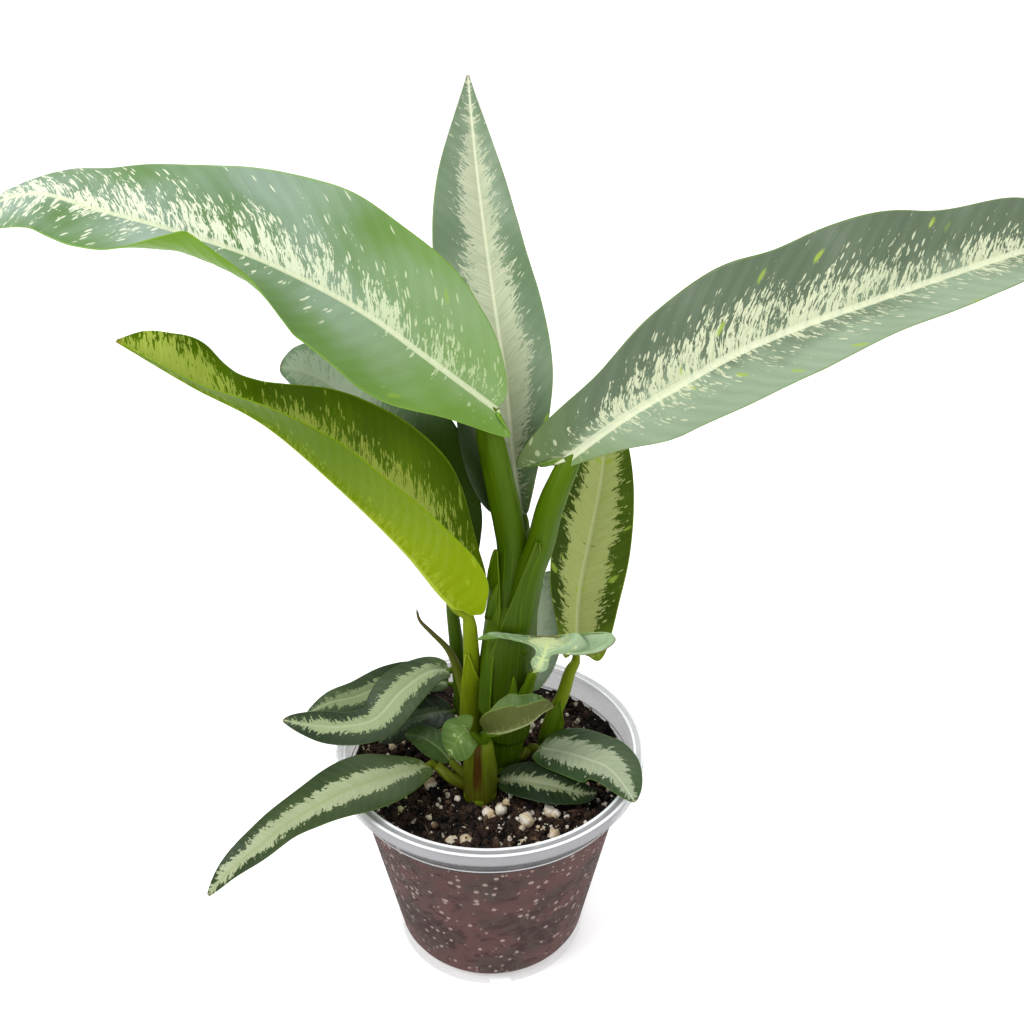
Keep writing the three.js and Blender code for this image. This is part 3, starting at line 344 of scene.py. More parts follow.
class Field:
    """A value that changes over a surface."""

    def __init__(self, finish, socket):
        self.finish = finish
        self.socket = socket

    def maths(self, operation, *values):
        return self.finish.node("ShaderNodeMath", {"operation": operation}, dict(enumerate(values)))

    def __add__(self, other):
        return self.maths("ADD", self, other)

    __radd__ = __add__

    def __sub__(self, other):
        return self.maths("SUBTRACT", self, other)

    def __rsub__(self, other):
        return self.maths("SUBTRACT", other, self)

    def __mul__(self, other):
        return self.maths("MULTIPLY", self, other)

    __rmul__ = __mul__

    def __abs__(self):
        return self.maths("ABSOLUTE", self)


def toned(colour, factor):
    return tuple(part * factor for part in colour)


class Finish:
    """A material and what is needed to paint it."""

    def __init__(self, name, colour, roughness, **settings):
        self.material = bpy.data.materials.new(name)
        self.material.use_nodes = True
        self.tree = self.material.node_tree
        self.surface = self.tree.nodes["Principled BSDF"]
        self.set("Base Color", (*colour, 1))
        self.set("Roughness", roughness)
        for socket, value in settings.items():
            self.set(socket.replace("_", " "), value)

    def set(self, socket, value):
        if isinstance(value, Field):
            self.tree.links.new(value.socket, self.surface.inputs[socket])
        else:
            self.surface.inputs[socket].default_value = value

    def node(self, kind, settings=None, values=None, output=0):
        made = self.tree.nodes.new(kind)
        for key, value in (settings or {}).items():
            setattr(made, key, value)
        for socket, value in (values or {}).items():
            if isinstance(value, Field):
                self.tree.links.new(value.socket, made.inputs[socket])
            else:
                made.inputs[socket].default_value = value
        return Field(self, made.outputs[output])

    def spot(self):
        return self.node("ShaderNodeTexCoord", output="Object")

    def attribute(self, name):
        return self.node("ShaderNodeAttribute", {"attribute_name": name}, output="Vector")

    def parts(self, vector):
        split = self.node("ShaderNodeSeparateXYZ", values={0: vector}).socket.node
        return [Field(self, socket) for socket in split.outputs]

    def place(self, x, y, z=0.0):
        return self.node("ShaderNodeCombineXYZ", values={0: x, 1: y, 2: z})

    def grain(self, vector, scale=1.0, detail=2.0, roughness=0.5):
        return self.node("ShaderNodeTexNoise", values={"Vector": vector, "Scale": scale,
            "Detail": detail, "Roughness": roughness})

    def cells(self, vector, scale=1.0):
        """Distance to the nearest of many scattered points, and a number that each point has."""
        distance = self.node("ShaderNodeTexVoronoi", values={"Vector": vector, "Scale": scale},
            output="Distance")
        return distance, self.parts(Field(self, distance.socket.node.outputs["Color"]))[0]

    def step(self, value, low, high):
        return self.node("ShaderNodeMapRange", {"interpolation_type": "SMOOTHSTEP"},
            {"Value": value, "From Min": low, "From Max": high})

    def mix(self, share, first, second):
        first, second = ((*c, 1) if isinstance(c, tuple) else c for c in (first, second))
        return self.node("ShaderNodeMix", {"data_type": "RGBA"},
            {0: share, 6: first, 7: second}, output=2)

    def coats(self, colour, *layers):
        """A colour with others laid over it, each with the share that it covers."""
        for share, coat in layers:
            colour = self.mix(share, colour, coat)
        return colour

    def bump(self, height, strength, distance):
        self.set("Normal", self.node("ShaderNodeBump", values={"Height": height,
            "Strength": strength, "Distance": distance}))


FLECK = (0.32, 0.45, 0.05)
DRIED = (0.2, 0.11, 0.03)


def leaf_finish(name, paint, under):
    """The upper or the under side of one leaf."""
    shine = paint["shine"] * (0.4 if under else 1)
    leaf = Finish(name, paint["fresh"], 0.42, Specular_IOR_Level=shine)
    across, along, band = leaf.parts(leaf.attribute("spread"))
    side, share, seed = leaf.parts(leaf.attribute("share"))
    out = abs(across)
    drift = leaf.grain(leaf.place(across * 0.11, along * 0.11, seed + 1), detail=1)
    vein = along - out * VEIN_SLANT - out * out * VEIN_CURVE + drift * 3
    fine = paint["fine"]
    short = paint["blunt"] * fine
    blotch = leaf.grain(leaf.place(vein * (1.1 * fine), out * short, seed), detail=3, roughness=0.7)
    streak = leaf.grain(leaf.place(vein * (0.5 * fine), out * (0.08 * fine), seed + 4))
    hair = leaf.grain(leaf.place(vein * 2.4, out * 0.12, seed + 11))
    cloud = leaf.grain(leaf.place(across * 0.035, along * 0.025, seed + 3))
    fresh = paint["fresh"]
    cream = paint["cream"]
    feather = paint["feather"]
    # The two greens mix at random and deeper towards the margin, and one half is made fresher and
    # paler: a painted sheen
    tone = leaf.step(cloud - abs(side) * 0.2 + side * paint["sheen_tilt"], 0.2, 0.6)
    lit = tone * 0.75 + 0.25
    # Broad bands between the side veins, a little lighter where the leaf is lit: painted light and
    # shade of the quilting, which also make its bump
    wave = leaf.node("ShaderNodeMath", {"operation": "SINE"},
        {0: vein * (2 * math.pi / paint["step"])})
    quilt_shading = leaf.step(wave, -0.9, 1)
    green = leaf.coats(leaf.mix(tone, paint["deep"], fresh),
        (leaf.step(hair, 0.35, 0.75) * lit * 0.2, toned(fresh, 1.5)),
        (quilt_shading * lit * 0.16, toned(fresh, 1.5)))
    broad = leaf.grain(leaf.place(vein * 0.09, out * 0.06, seed + 21))
    solid = paint["solid"]
    edge = leaf.step(band, -2.2 * feather, 2.2 * feather) * (0.36 + solid) - 0.36
    pattern = blotch * 1.25 + streak * 0.6 + broad * 0.5 + edge - 0.675
    pale = leaf.step(pattern, 0.485, 0.515)
    spot, pick = leaf.cells(leaf.place(vein * (0.72 * fine), out * (0.27 * fine), seed + 7))
    near = leaf.step(band, -3 * feather, 0.5 * feather)
    chance = near * near * paint["dash"]
    dash = leaf.step(spot, 0.42, 0.3) * leaf.step(pick - chance, 0.01, -0.01)
    inside = leaf.coats(cream, (leaf.step(hair, 0.4, 0.7) * paint["vein"], paint["veil"]),
        (leaf.step(cloud, 0.45, 0.7) * 0.25, paint["veil"]))
    colour = leaf.coats(green, (pale, inside), (dash * 0.9, toned(cream, 0.92)))
    if paint["fleck"]:
        mark, pick = leaf.cells(leaf.place(vein * 0.15, out * 0.1, seed + 5))
        fleck = leaf.step(mark + hair * 0.25, 0.36, 0.24) * leaf.step(pick - paint["fleck"],
            0.01, -0.01)
        colour = leaf.mix(fleck * 0.8, colour, FLECK)
    margin = leaf.step(abs(side), 0.97, 0.995)
    hem = (margin * 0.5, toned(paint["glow"], 1.3))
    if "scorch" in paint:
        hem = (margin * leaf.step(cloud, 0.4, 0.6), paint["scorch"])
    base = leaf.step(share - abs(side) * 0.06, paint["base"], -0.02)
    colour = leaf.coats(colour, hem, (base * 0.6, paint["glow"]))
    # A dark green laid over a blade's foot, fading along its length and reaching further on the left:
    # painted shadow of the leaves above
    if "painted_shadow" in paint:
        shadow_green, start, end, lean = paint["painted_shadow"]
        colour = leaf.mix(leaf.step(share + cloud * 0.1 + side * lean, end, start), colour, shadow_green)
    if under:
        lower = paint["under"]
        if "under_tip" in paint:
            lower = leaf.mix(leaf.step(share + blotch * 0.3, 0.3, 0.75), lower, paint["under_tip"])
        colour = leaf.mix(0.72, colour, lower)
    rib = leaf.step(out + share * 0.45 - paint["line"], 0.3, -0.25)
    dry = leaf.step(share + streak * 0.02, 0.998, 1.012)
    leaf.set("Base Color", leaf.coats(colour, (rib * 0.8, paint["rib"]), (dry * 0.75, DRIED)))
    leaf.set("Roughness", 0.34 + cloud * 0.14 + hair * 0.06)
    leaf.bump(hair * 0.4 + streak + quilt_shading * -0.6, 0.3, 0.0004)
    return leaf.material


# The brown scar on the stub: its middle from left to right, how far to the front it starts and is
# full, and the heights at which it starts and is full
SCAR = {"middle": -4.6, "front": -18, "crest": -20, "foot": 89, "full": 95}


def stalk_finish(name, low, high, stripe):
    """Fresh stalk: long fine stripes, from one green at its foot to another at its top. Where the foot
    is the darker green, that is painted shade under the leaves.
    """
    stalk = Finish(name, low, 0.38, Specular_IOR_Level=0.08)
    turn, length, share = stalk.parts(stalk.attribute("spread"))
    side = stalk.parts(stalk.attribute("share"))[0]
    lines = stalk.grain(stalk.place(turn * 1.3, length * 0.015), detail=3, roughness=0.6)
    fine = stalk.grain(stalk.place(turn * 4.5, length * 0.03, 3))
    blotch = stalk.grain(stalk.place(turn * 0.25, length * 0.04, 9))
    colour = stalk.coats(stalk.mix(stalk.step(share, 0.1, 0.95), low, high),
        (stalk.step(lines, 0.5, 0.68) * 0.45, stripe),
        (stalk.step(fine, 0.4, 0.75) * 0.35, toned(low, 0.45)),
        (stalk.step(blotch, 0.5, 0.75) * 0.4, toned(low, 0.6)),
        (stalk.step(abs(side), 0.93, 0.99) * 0.7, stripe))
    if name == "scarred_stalk":
        x, y, z = stalk.parts(stalk.spot())
        wander = abs(x * 1000 - SCAR["middle"] + (lines - 0.5) * 4)
        scar = (stalk.step(wander, 2.4, 0.9) * stalk.step(y, SCAR["front"] * MM, SCAR["crest"] * MM)
            * stalk.step(z, SCAR["foot"] * MM, SCAR["full"] * MM))
        colour = stalk.coats(colour,
            (scar * stalk.step(fine + blotch, 0.8, 0.95), (0.035, 0.012, 0.002)),
            (scar * 0.7, (0.075, 0.03, 0.005)))
    stalk.set("Base Color", colour)
    stalk.set("Roughness", 0.32 + blotch * 0.14)
    stalk.bump(lines + fine * 0.5, 0.35, 0.0004)
    return stalk.material


# Making meshes


def clear_choice():
    bpy.ops.object.select_all(action="DESELECT")


def choose(piece):
    clear_choice()
    piece.select_set(True)
    bpy.context.view_layer.objects.active = piece


def own(piece, name, materials, node, slot):
    """Names a finished piece, paints it, and sets it on the CAD frame in place of its node."""
    piece.name = name
    piece.data.name = name
    for material in materials:
        piece.data.materials.append(material)
    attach(piece, "root")
    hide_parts(node)


def face_out(piece, close=False):
    """Turns all faces outwards, after a rolled sheet's seam and ends are closed."""
    choose(piece)
    bpy.ops.object.mode_set(mode="EDIT")
    bpy.ops.mesh.select_all(action="SELECT")
    if close:
        bpy.ops.mesh.remove_doubles(threshold=1e-6)
        bpy.ops.mesh.fill_holes(sides=0)
        bpy.ops.mesh.select_all(action="SELECT")
    bpy.ops.mesh.normals_make_consistent(inside=False)
    bpy.ops.object.mode_set(mode="OBJECT")


def smooth_path(points, count=361):
    """Even steps along a smooth curve through the points."""
    given = np.array(points, float)
    framed = np.vstack([2 * given[0] - given[1], given, 2 * given[-1] - given[-2]])
    t = np.linspace(0, 1, 40, endpoint=False)[:, None]
    pieces = []
    for p0, p1, p2, p3 in zip(framed, framed[1:], framed[2:], framed[3:]):
        m1, m2 = (p2 - p0) / 2, (p3 - p1) / 2
        pieces.append((2 * t**3 - 3 * t**2 + 1) * p1 + (t**3 - 2 * t**2 + t) * m1
            + (3 * t**2 - 2 * t**3) * p2 + (t**3 - t**2) * m2)
    line = np.vstack([*pieces, given[-1:]])
    run = np.concatenate([[0], np.cumsum(np.linalg.norm(np.diff(line, axis=0), axis=1))])
    even = np.linspace(0, run[-1], count)
    return np.stack([np.interp(even, run, line[:, k]) for k in range(3)], 1), run[-1]


def along(values, share):
    """A value, or several, that go in equal steps through a table's stations."""
    table = np.array(values, float)
    places = np.linspace(0, 1, len(table))
    if table.ndim == 1:
        return np.interp(share, places, table)
    return np.stack([np.interp(share, places, table[:, k]) for k in range(table.shape[1])], -1)


def unit(vectors):
    return vectors / np.linalg.norm(vectors, axis=-1, keepdims=True)


def path_frames(points, share, reach):
    """Points at shares of a smooth path's length, the ways onward there, and its length."""
    line, length = smooth_path(points)
    steps = np.linspace(0, 1, len(line))
    ahead, here, before = (np.stack([np.interp(q, steps, line[:, k]) for k in range(3)], -1)
        for q in (np.minimum(share + reach, 1), share, np.maximum(share - reach, 0)))
    return here, unit(ahead - before), length


def rib_frames(leaf, share):
    """Points of the midrib, with the ways along it, out of its upper side and to its left."""
    rib, onward, length = path_frames(leaf["rib"], share, 0.004)
    up = along(leaf["face"], share)
    up = unit(up - onward * np.sum(up * onward, -1, keepdims=True))
    return rib, onward, up, np.cross(up, onward), length


def half_width(leaf, share, side):
    p, q = leaf["outline"]
    widest = p / (p + q)
    peak = widest**p * (1 - widest) ** q
    inner = np.clip(share, 0, 1)
    trim = 1
    if "trim" in leaf:
        near = np.linspace(-TRIM_BLUR, TRIM_BLUR, 7)
        trim = sum(along(leaf["trim"][side], np.clip(inner + k, 0, 1)) for k in near) / len(near)
    return (leaf["half"][side] * inner**p * (1 - inner) ** q / peak * trim
        + 0.5 * leaf["neck"] * (1 - inner) ** 8 + 0.5 * inner)


def leaf_surface(leaf, share, across):
    """The leaf's middle surface at shares of its length and half widths, as rows by columns."""
    rib, onward, up, left, length = rib_frames(leaf, share)
    rib, onward, up, left = (a[:, None, :] for a in (rib, onward, up, left))
    u = share[:, None]
    t = np.abs(across)[None, :]
    result = np.zeros((len(share), len(across), 3))
    widths = np.zeros((len(share), len(across)))
    folds = along(leaf["fold"], share)
    for side in (0, 1):
        mask = (across < 0) if side == 0 else (across >= 0)
        first = np.radians(folds[:, side * 2])[:, None]
        last = np.radians(folds[:, side * 2 + 1])[:, None]
        angle = first + (last - first) * t
        middle = (first + angle) / 2
        width = half_width(leaf, u, side)
        size, count, phase, centre, spread = (*leaf["wave"][side], *ALL_ALONG)[:5]
        ends = np.minimum(1, 6 * u * (1 - u)) * np.exp(-(((u - centre) / spread) ** 2))
        ruffle = size * t * t * ends * np.sin(2 * np.pi * (count * u + phase))
        if "ripple" in leaf:
            rise, rises, start = leaf["ripple"][side]
            part = np.minimum(1, width / leaf["half"][side])
            ruffle = ruffle + rise * t * part**2 * np.sin(2 * np.pi * (rises * t + start))
        back = leaf["lobe"][side] * t ** leaf["heel"] * (u / LOBE_SHARE) * np.exp(1 - u / LOBE_SHARE)
        way = left if side == 0 else -left
        place = (rib + way * (width * t * np.cos(middle) - ruffle * np.sin(angle))[..., None]
            + up * (width * t * np.sin(middle) + ruffle * np.cos(angle))[..., None]
            - onward * back[..., None])
        result[:, mask] = place[:, mask]
        widths[:, mask] = width
    return result, widths, length


def shaped_grid(places, spread, share):
    """A grid of rows by columns at its places, with the two sets of numbers that its paint reads."""
    clear_choice()
    rows, columns = places.shape[:2]
    bpy.ops.mesh.primitive_grid_add(x_subdivisions=columns - 1, y_subdivisions=rows - 1, size=1)
    piece = bpy.context.object
    mesh = piece.data
    mesh.vertices.foreach_set("co", (places * MM).reshape(-1).astype(np.float32))
    for label, values in (("spread", spread), ("share", share)):
        made = mesh.attributes.new(label, "FLOAT_VECTOR", "POINT")
        field = np.stack([np.broadcast_to(value, (rows, columns)) for value in values], -1)
        made.data.foreach_set("vector", field.reshape(-1).astype(np.float32))
    mesh.update()
    return piece


def apply_modifier(piece, kind, **settings):
    choose(piece)
    added = piece.modifiers.new(kind.title(), kind)
    for key, value in settings.items():
        setattr(added, key, value)
    bpy.ops.object.modifier_apply(modifier=added.name)


def smooth(piece):
    choose(piece)
    bpy.ops.object.shade_smooth()


def make_leaf(name, leaf, paint, seed):
    """One blade: a quilted sheet on its midrib, painted on both sides and given its thickness."""
    rows, columns = LARGE_GRID if leaf["half"][0] > LARGE_HALF else SMALL_GRID
    even = np.linspace(0, 1, rows)
    share = 1 - (1 - even**1.2) ** 1.2
    cross = np.linspace(-1, 1, columns)
    cross = np.sign(cross) * np.abs(cross) ** 1.15
    surface, widths, length = leaf_surface(leaf, share, cross)
    normal = unit(np.cross(np.gradient(surface, axis=1), np.gradient(surface, axis=0)))
    share = share[:, None]
    metric = widths * cross
    run = share * length
    out = np.abs(metric)
    vein = run - out * VEIN_SLANT - out**2 * VEIN_CURVE
    fade = np.clip(out / 3, 0, 1) * (1 - np.abs(cross) ** 3)
    quilt = QUILT_HEIGHT * np.sin(2 * np.pi * vein / paint["step"] + 1.2) * fade
    swell = SWELL_HEIGHT * np.abs(cross) ** 1.5 * (widths / 30) * np.sin(
        2 * np.pi * (run / SWELL_LENGTH + cross * 0.8 + seed))
    groove = -GROOVE_DEPTH * np.exp(-((metric / GROOVE_HALF) ** 2)) * (1 - share) ** 0.4
    surface = surface + normal * (quilt + swell + groove)[..., None]
    left, right = (along(half, share) for half in paint["reach"])
    band = np.where(cross < 0, left, right) * widths - out
    piece = shaped_grid(surface, (metric, run, band), (cross, share, seed))
    # The blade is thick at the midrib and thin at the margin
    keel = leaf["keel"]
    start = np.clip((run - leaf["seat"]) / 6, 0.1, 1)
    depth = (MARGIN_THICKNESS + BODY_THICKNESS * (1 - np.abs(cross)) + keel * start
        * (1 - share) ** 1.2 * np.exp(-((metric / (0.8 + keel * 0.5)) ** 2)))
    most = 1 + keel
    group = piece.vertex_groups.new(name="depth")
    weights = (depth / most).reshape(-1)
    for index, weight in enumerate(weights):
        group.add([index], float(min(1, weight)), "REPLACE")
    own(piece, "blade_" + name, [leaf_finish(name, paint, False),
        leaf_finish(name + "_under", paint, True)], "leaf_" + name, "leaf_" + name)
    apply_modifier(piece, "SOLIDIFY", thickness=most * MM, offset=-1, vertex_group="depth",
        material_offset=1, material_offset_rim=0, use_even_offset=False)
    piece.vertex_groups.clear()
    smooth(piece)


# How far before its leaf a stalk points straight at it
STRAIGHT = 5
SHORT_STRAIGHT = {"folded": 2, "folded_left": 1.5}


def leaf_seat(leaf, run):
    """The last two points of the stalk that carries a leaf."""
    length = smooth_path(leaf["rib"])[1]
    rib, onward, up, _, _ = rib_frames(leaf, np.array([leaf["seat"] / length]))
    end = rib[0] - GAP * onward[0] - leaf["keel"] / 2 * up[0]
    return [tuple(end - run * onward[0]), tuple(end)]


def peg(shoot, top):
    """The round foot of a shoot, from the bottom of its hole in the mix."""
    x, y, radius = PEGS[shoot]
    return shoot, [(x, y, PEG_FOOT), (x, y, top)], [(radius, radius)]


# How thick a sheath is, and half widths and half depths of a small pointed tip
SHEATH_THICKNESS = 0.7
TIP = [(2.6, 1), (2, 0.8), (0.4, 0.3)]

# Stalks and sheaths. Each has its shoot, its path, and half widths and half depths along it. A
# stalk's path also goes on to its leaf's seat.
STALKS = {
    "peg_main": peg("main", 94),
    "sheath_main": ("main", [(6, 3, 86), (7, 0, 108), (8, -2, 140), (8, -3, 165), (9.5, 1, 184)],
        [(7, 7), (9, 8), (10, 7.5), (9.5, 7), (4, 2.5)]),
    "stalk_upper_left": ("main", [(5, -3, 150), (9, -2, 188), (8, -3, 205), (3, -5, 233), (1, -6, 246)],
        [(5, 4.5), (6, 5), (5.8, 5), (5.8, 4.5), (5.2, 4), (3.6, 3)]),
    "stalk_upper_right": ("main", [(12, -5, 150), (15, -6, 181), (20, -5, 198), (24, -4, 215)],
        [(5, 4.5), (6, 5), (5.5, 5), (5, 4.5), (3.6, 3)]),
    "stalk_upper_middle": ("main", [(10, 0, 150), (12, 4, 180)], [(4, 4), (3.5, 3.5), (2.4, 2.2)]),
    "stalk_ruffled": ("main", [(10, -4, 120), (15, -11, 134)], [(3, 3), (2.4, 2.4), (1.6, 1.6)]),
    "stalk_front_right": ("main", [(9, 1, 89), (15, -1, 93)], [(3, 3), (2.4, 2.4), (1.8, 1.6)]),
    "stalk_behind": ("main", [(9, 7, 92), (13, 17, 97)], [(3, 3), (2.4, 2.4), (1.6, 1.6)]),
    "tip_low": ("main", [(9, -8, 122), (10, -10, 132), (10, -11, 141)], TIP),
    "tip_low_right": ("main", [(14, -6, 122), (15, -8, 132), (16, -9, 141)], TIP),
    "tip_high": ("main", [(1, -6, 165), (2, -8, 175), (4, -9, 183)], TIP),
    "peg_left": peg("left", 92),
    "stalk_young_left": ("left", [(-7, 16, 86), (-7, 10, 108), (-7, 2, 130), (-7, -5, 152)],
        [(5.2, 5.2), (4.7, 4.5), (3.8, 3.6), (3.1, 3), (2.6, 2.4)]),
    "stalk_behind_left": ("left", [(-9, 17, 92), (-12, 15, 115), (-14, 14, 141)],
        [(4, 4), (3.5, 3.5), (3, 3), (2.2, 2)]),
    "stalk_low_left": ("left", [(-11, 15, 104), (-14, 17, 114)], [(2.6, 2.6), (2.2, 2.2), (1.8, 1.6)]),
    "stalk_low_left_back": ("left", [(-10, 18, 92), (-15, 24, 101)], [(2.6, 2.6), (2, 2), (1.5, 1.4)]),
    "stalk_low_left_under": ("left", [(-8, 18, 88), (-12, 20, 94)], [(2.6, 2.6), (2, 2), (1.5, 1.4)]),
    "spike_left": ("left", [(-10, 12, 112), (-13.5, 9, 130), (-17, 6, 142), (-23, 3, 152),
        (-27.5, 1.5, 159), (-28.5, 1, 165)],
        [(2.8, 2), (2.4, 1.6), (1.8, 1.3), (1.3, 1), (0.9, 0.8), (0.4, 0.4)]),
    "peg_right": peg("right", 92),
    "stalk_right": ("right", [(24, 8, 84), (27, 9, 104), (31, 12, 114), (34, 17, 122)],
        [(4.6, 4.6), (4.4, 3.8), (3, 3), (2.6, 2.6), (2, 2)]),
    "peg_front": peg("front", 90),
    "stub_front": ("front", [(-4, -15, 82), (-4, -16, 101), (-3, -18, 116)],
        [(7, 7), (7, 6.5), (4.5, 4)]),
    "stalk_folded": ("front", [(-3, -17, 112)], [(3, 3), (2, 1.8)]),
    "stalk_folded_left": ("front", [(-3, -17, 112)], [(3, 3), (1.2, 1.2)]),
    "stalk_front_left": ("front", [(-6, -14, 86), (-16, -15, 92)], [(3, 3), (2.4, 2.4), (1.8, 1.7)]),
    "stalk_front_left_back": ("front", [(-7, -12, 86)], [(2.6, 2.6), (1.4, 1.4)]),
    "stalk_front_right_under": ("front", [(-2, -14, 80)], [(2.6, 2.6), (1.4, 1.3)]),
}


def under_rib(leaf):
    """Points along the lower side of a midrib, into which its stalk runs out."""
    length = smooth_path(leaf["rib"])[1]
    share = leaf["seat"] / length + np.minimum(np.array([3, 8, 15]) / length,
        [0.08, 0.18, 0.32])
    rib, _, up, _, _ = rib_frames(leaf, share)
    drop = leaf["keel"] * (1 - share) ** 1.2 * 0.5 + np.array([1.2, 0.7, 0.2])
    return [tuple(point) for point in rib - up * drop[:, None]]


def limb_frames(path, share):
    """Points of a limb's path, the ways to its right and to its back there, and its length."""
    places, onward, length = path_frames(path, share, 0.01)
    wide = unit(np.array([1.0, 0, 0]) - onward * onward[:, :1])
    return places, wide, np.cross(onward, wide), length


def make_stalk(name, shoot, path, sizes, material):
    """A closed limb: a sheet rolled round its path, joined at the seam and closed at its ends."""
    thick = max(max(size) for size in sizes)
    carried = name.removeprefix("stalk_")
    leaf = LEAVES.get(carried)
    if leaf:
        path = [*path, *leaf_seat(leaf, SHORT_STRAIGHT.get(carried, STRAIGHT))]
    bare = smooth_path(path)[1]
    if leaf:
        lower = rib_frames(leaf, np.array([0.0]))[2][0] * leaf["keel"] * 0.35
        path = [*path[:-2], tuple(path[-2] - lower), tuple(path[-1] - lower), *under_rib(leaf)]
    length = smooth_path(path)[1]
    rows = max(10, int(length / 2))
    columns = 33 if thick > 3 else 17
    share = np.linspace(0, 1, rows)
    places, wide, deep, _ = limb_frames(path, share)
    reach = share * length / bare
    sizes = along(sizes, np.minimum(reach, 1))
    if leaf:
        end = (length / bare - reach) / (length / bare - 1)
        sizes = sizes * np.where(reach > 1, 0.2 + 0.5 * end,
            1 - 0.3 * np.clip(reach * 8 - 7, 0, 1))[:, None]
    dome = np.sqrt(np.clip((length - share * length) / (0.6 * thick), 0.02, 1))
    sizes = sizes * dome[:, None]
    angle = np.linspace(0, 2 * np.pi, columns)
    rough = 1 + 0.02 * np.sin(3 * angle + thick)[None, :] + 0.015 * np.sin(
        5 * angle[None, :] + share[:, None] * 4)
    places = (places[:, None, :]
        + wide[:, None, :] * (sizes[:, :1] * np.cos(angle) * rough)[..., None]
        + deep[:, None, :] * (sizes[:, 1:] * np.sin(angle) * rough)[..., None])
    turn = thick * np.cos(angle) + 5 * np.sin(angle)
    share = share[:, None]
    piece = shaped_grid(places, (turn, share * length, share), (0, 0, 0))
    face_out(piece, close=True)
    own(piece, name, [material], "shoot_" + shoot, "shoot_" + shoot)
    smooth(piece)


# Sheaths that clasp the shoots: shoot, path, half widths and depths, and the turn round the path
# at which each starts and ends, in degrees from the right by way of the back
SHEATHS = {
    "sheath_right_stalk": ("main", [(7, 0, 104), (8, -2, 140), (10, -3, 165), (14, -4, 185),
        (19, -5, 202)], [(9.3, 8.6), (10.4, 8.2), (10, 7.6), (7.6, 6.2), (6, 5.4)],
        [(-178, 70), (-165, 60), (-128, 50), (-105, 0), (-92, -88)]),
    "sheath_left_stalk": ("main", [(5, -2, 118), (6, -2, 150), (7, -2, 178), (7, -2, 196)],
        [(9.4, 7.6), (9.2, 7.2), (7, 6), (6.2, 5.2)],
        [(-230, -120), (-225, -115), (-215, -105), (-126, -122)]),
    "sheath_young": ("left", [(-7, 14, 92), (-7, 8, 113), (-7, 1, 133), (-7, -4, 150)],
        [(5.8, 5.6), (5.1, 4.9), (4.3, 4.1), (3.6, 3.4)],
        [(-200, 60), (-170, 0), (-150, -40), (-112, -108)]),
    "sheath_slim": ("right", [(24, 8, 86), (27, 9, 104), (30, 11, 112)],
        [(5.2, 5.2), (4.7, 4.1), (3.3, 3.2)], [(-150, 120), (-140, 20), (-102, -98)]),
}


def make_sheath(name, shoot, path, sizes, turns, material):
    """An open sheet that wraps part of a shoot and lifts a little at its two edges."""
    share = np.linspace(0, 1, 60)
    cross = np.linspace(-1, 1, 41)
    places, wide, deep, length = limb_frames(path, share)
    turns = np.radians(along(turns, share))
    sizes = along(sizes, share)
    share = share[:, None]
    angle = turns[:, :1] + (turns[:, 1:] - turns[:, :1]) * (cross + 1) / 2
    lift = 0.35 + 0.55 * np.abs(cross) ** 6 + 0.12 * np.sin(3 * angle + share * 3)
    places = (places[:, None, :] + wide[:, None, :] * ((sizes[:, :1] + lift) * np.cos(angle))[..., None]
        + deep[:, None, :] * ((sizes[:, 1:] + lift) * np.sin(angle))[..., None])
    piece = shaped_grid(places, (angle * 9, share * length, share), (cross, 0, 0))
    own(piece, name, [material], "shoot_" + shoot, "shoot_" + shoot)
    apply_modifier(piece, "SOLIDIFY", thickness=SHEATH_THICKNESS * MM, offset=-1)
    face_out(piece)
    smooth(piece)


def turned(profile, sides):
    """A closed turned shape: a ring that is extruded and resized from one profile point on."""
    clear_choice()
    first, *rest = profile
    bpy.ops.mesh.primitive_circle_add(vertices=sides, radius=first[0] * MM, fill_type="NGON",
        location=(0, 0, first[1] * MM))
    piece = bpy.context.object
    bpy.ops.object.transform_apply(location=True, rotation=False, scale=False)
    bpy.ops.object.mode_set(mode="EDIT")
    bpy.ops.mesh.select_all(action="SELECT")
    radius, height = first
    for next_radius, next_height in rest:
        bpy.ops.mesh.extrude_region_move(
            TRANSFORM_OT_translate={"value": (0, 0, (next_height - height) * MM)})
        ratio = next_radius / radius
        bpy.ops.transform.resize(value=(ratio, ratio, 1))
        radius, height = next_radius, next_height
    bpy.ops.object.mode_set(mode="OBJECT")
    face_out(piece)
    return piece


def on_ring(radius, angle, height):
    return radius * MM * math.cos(angle), radius * MM * math.sin(angle), height * MM


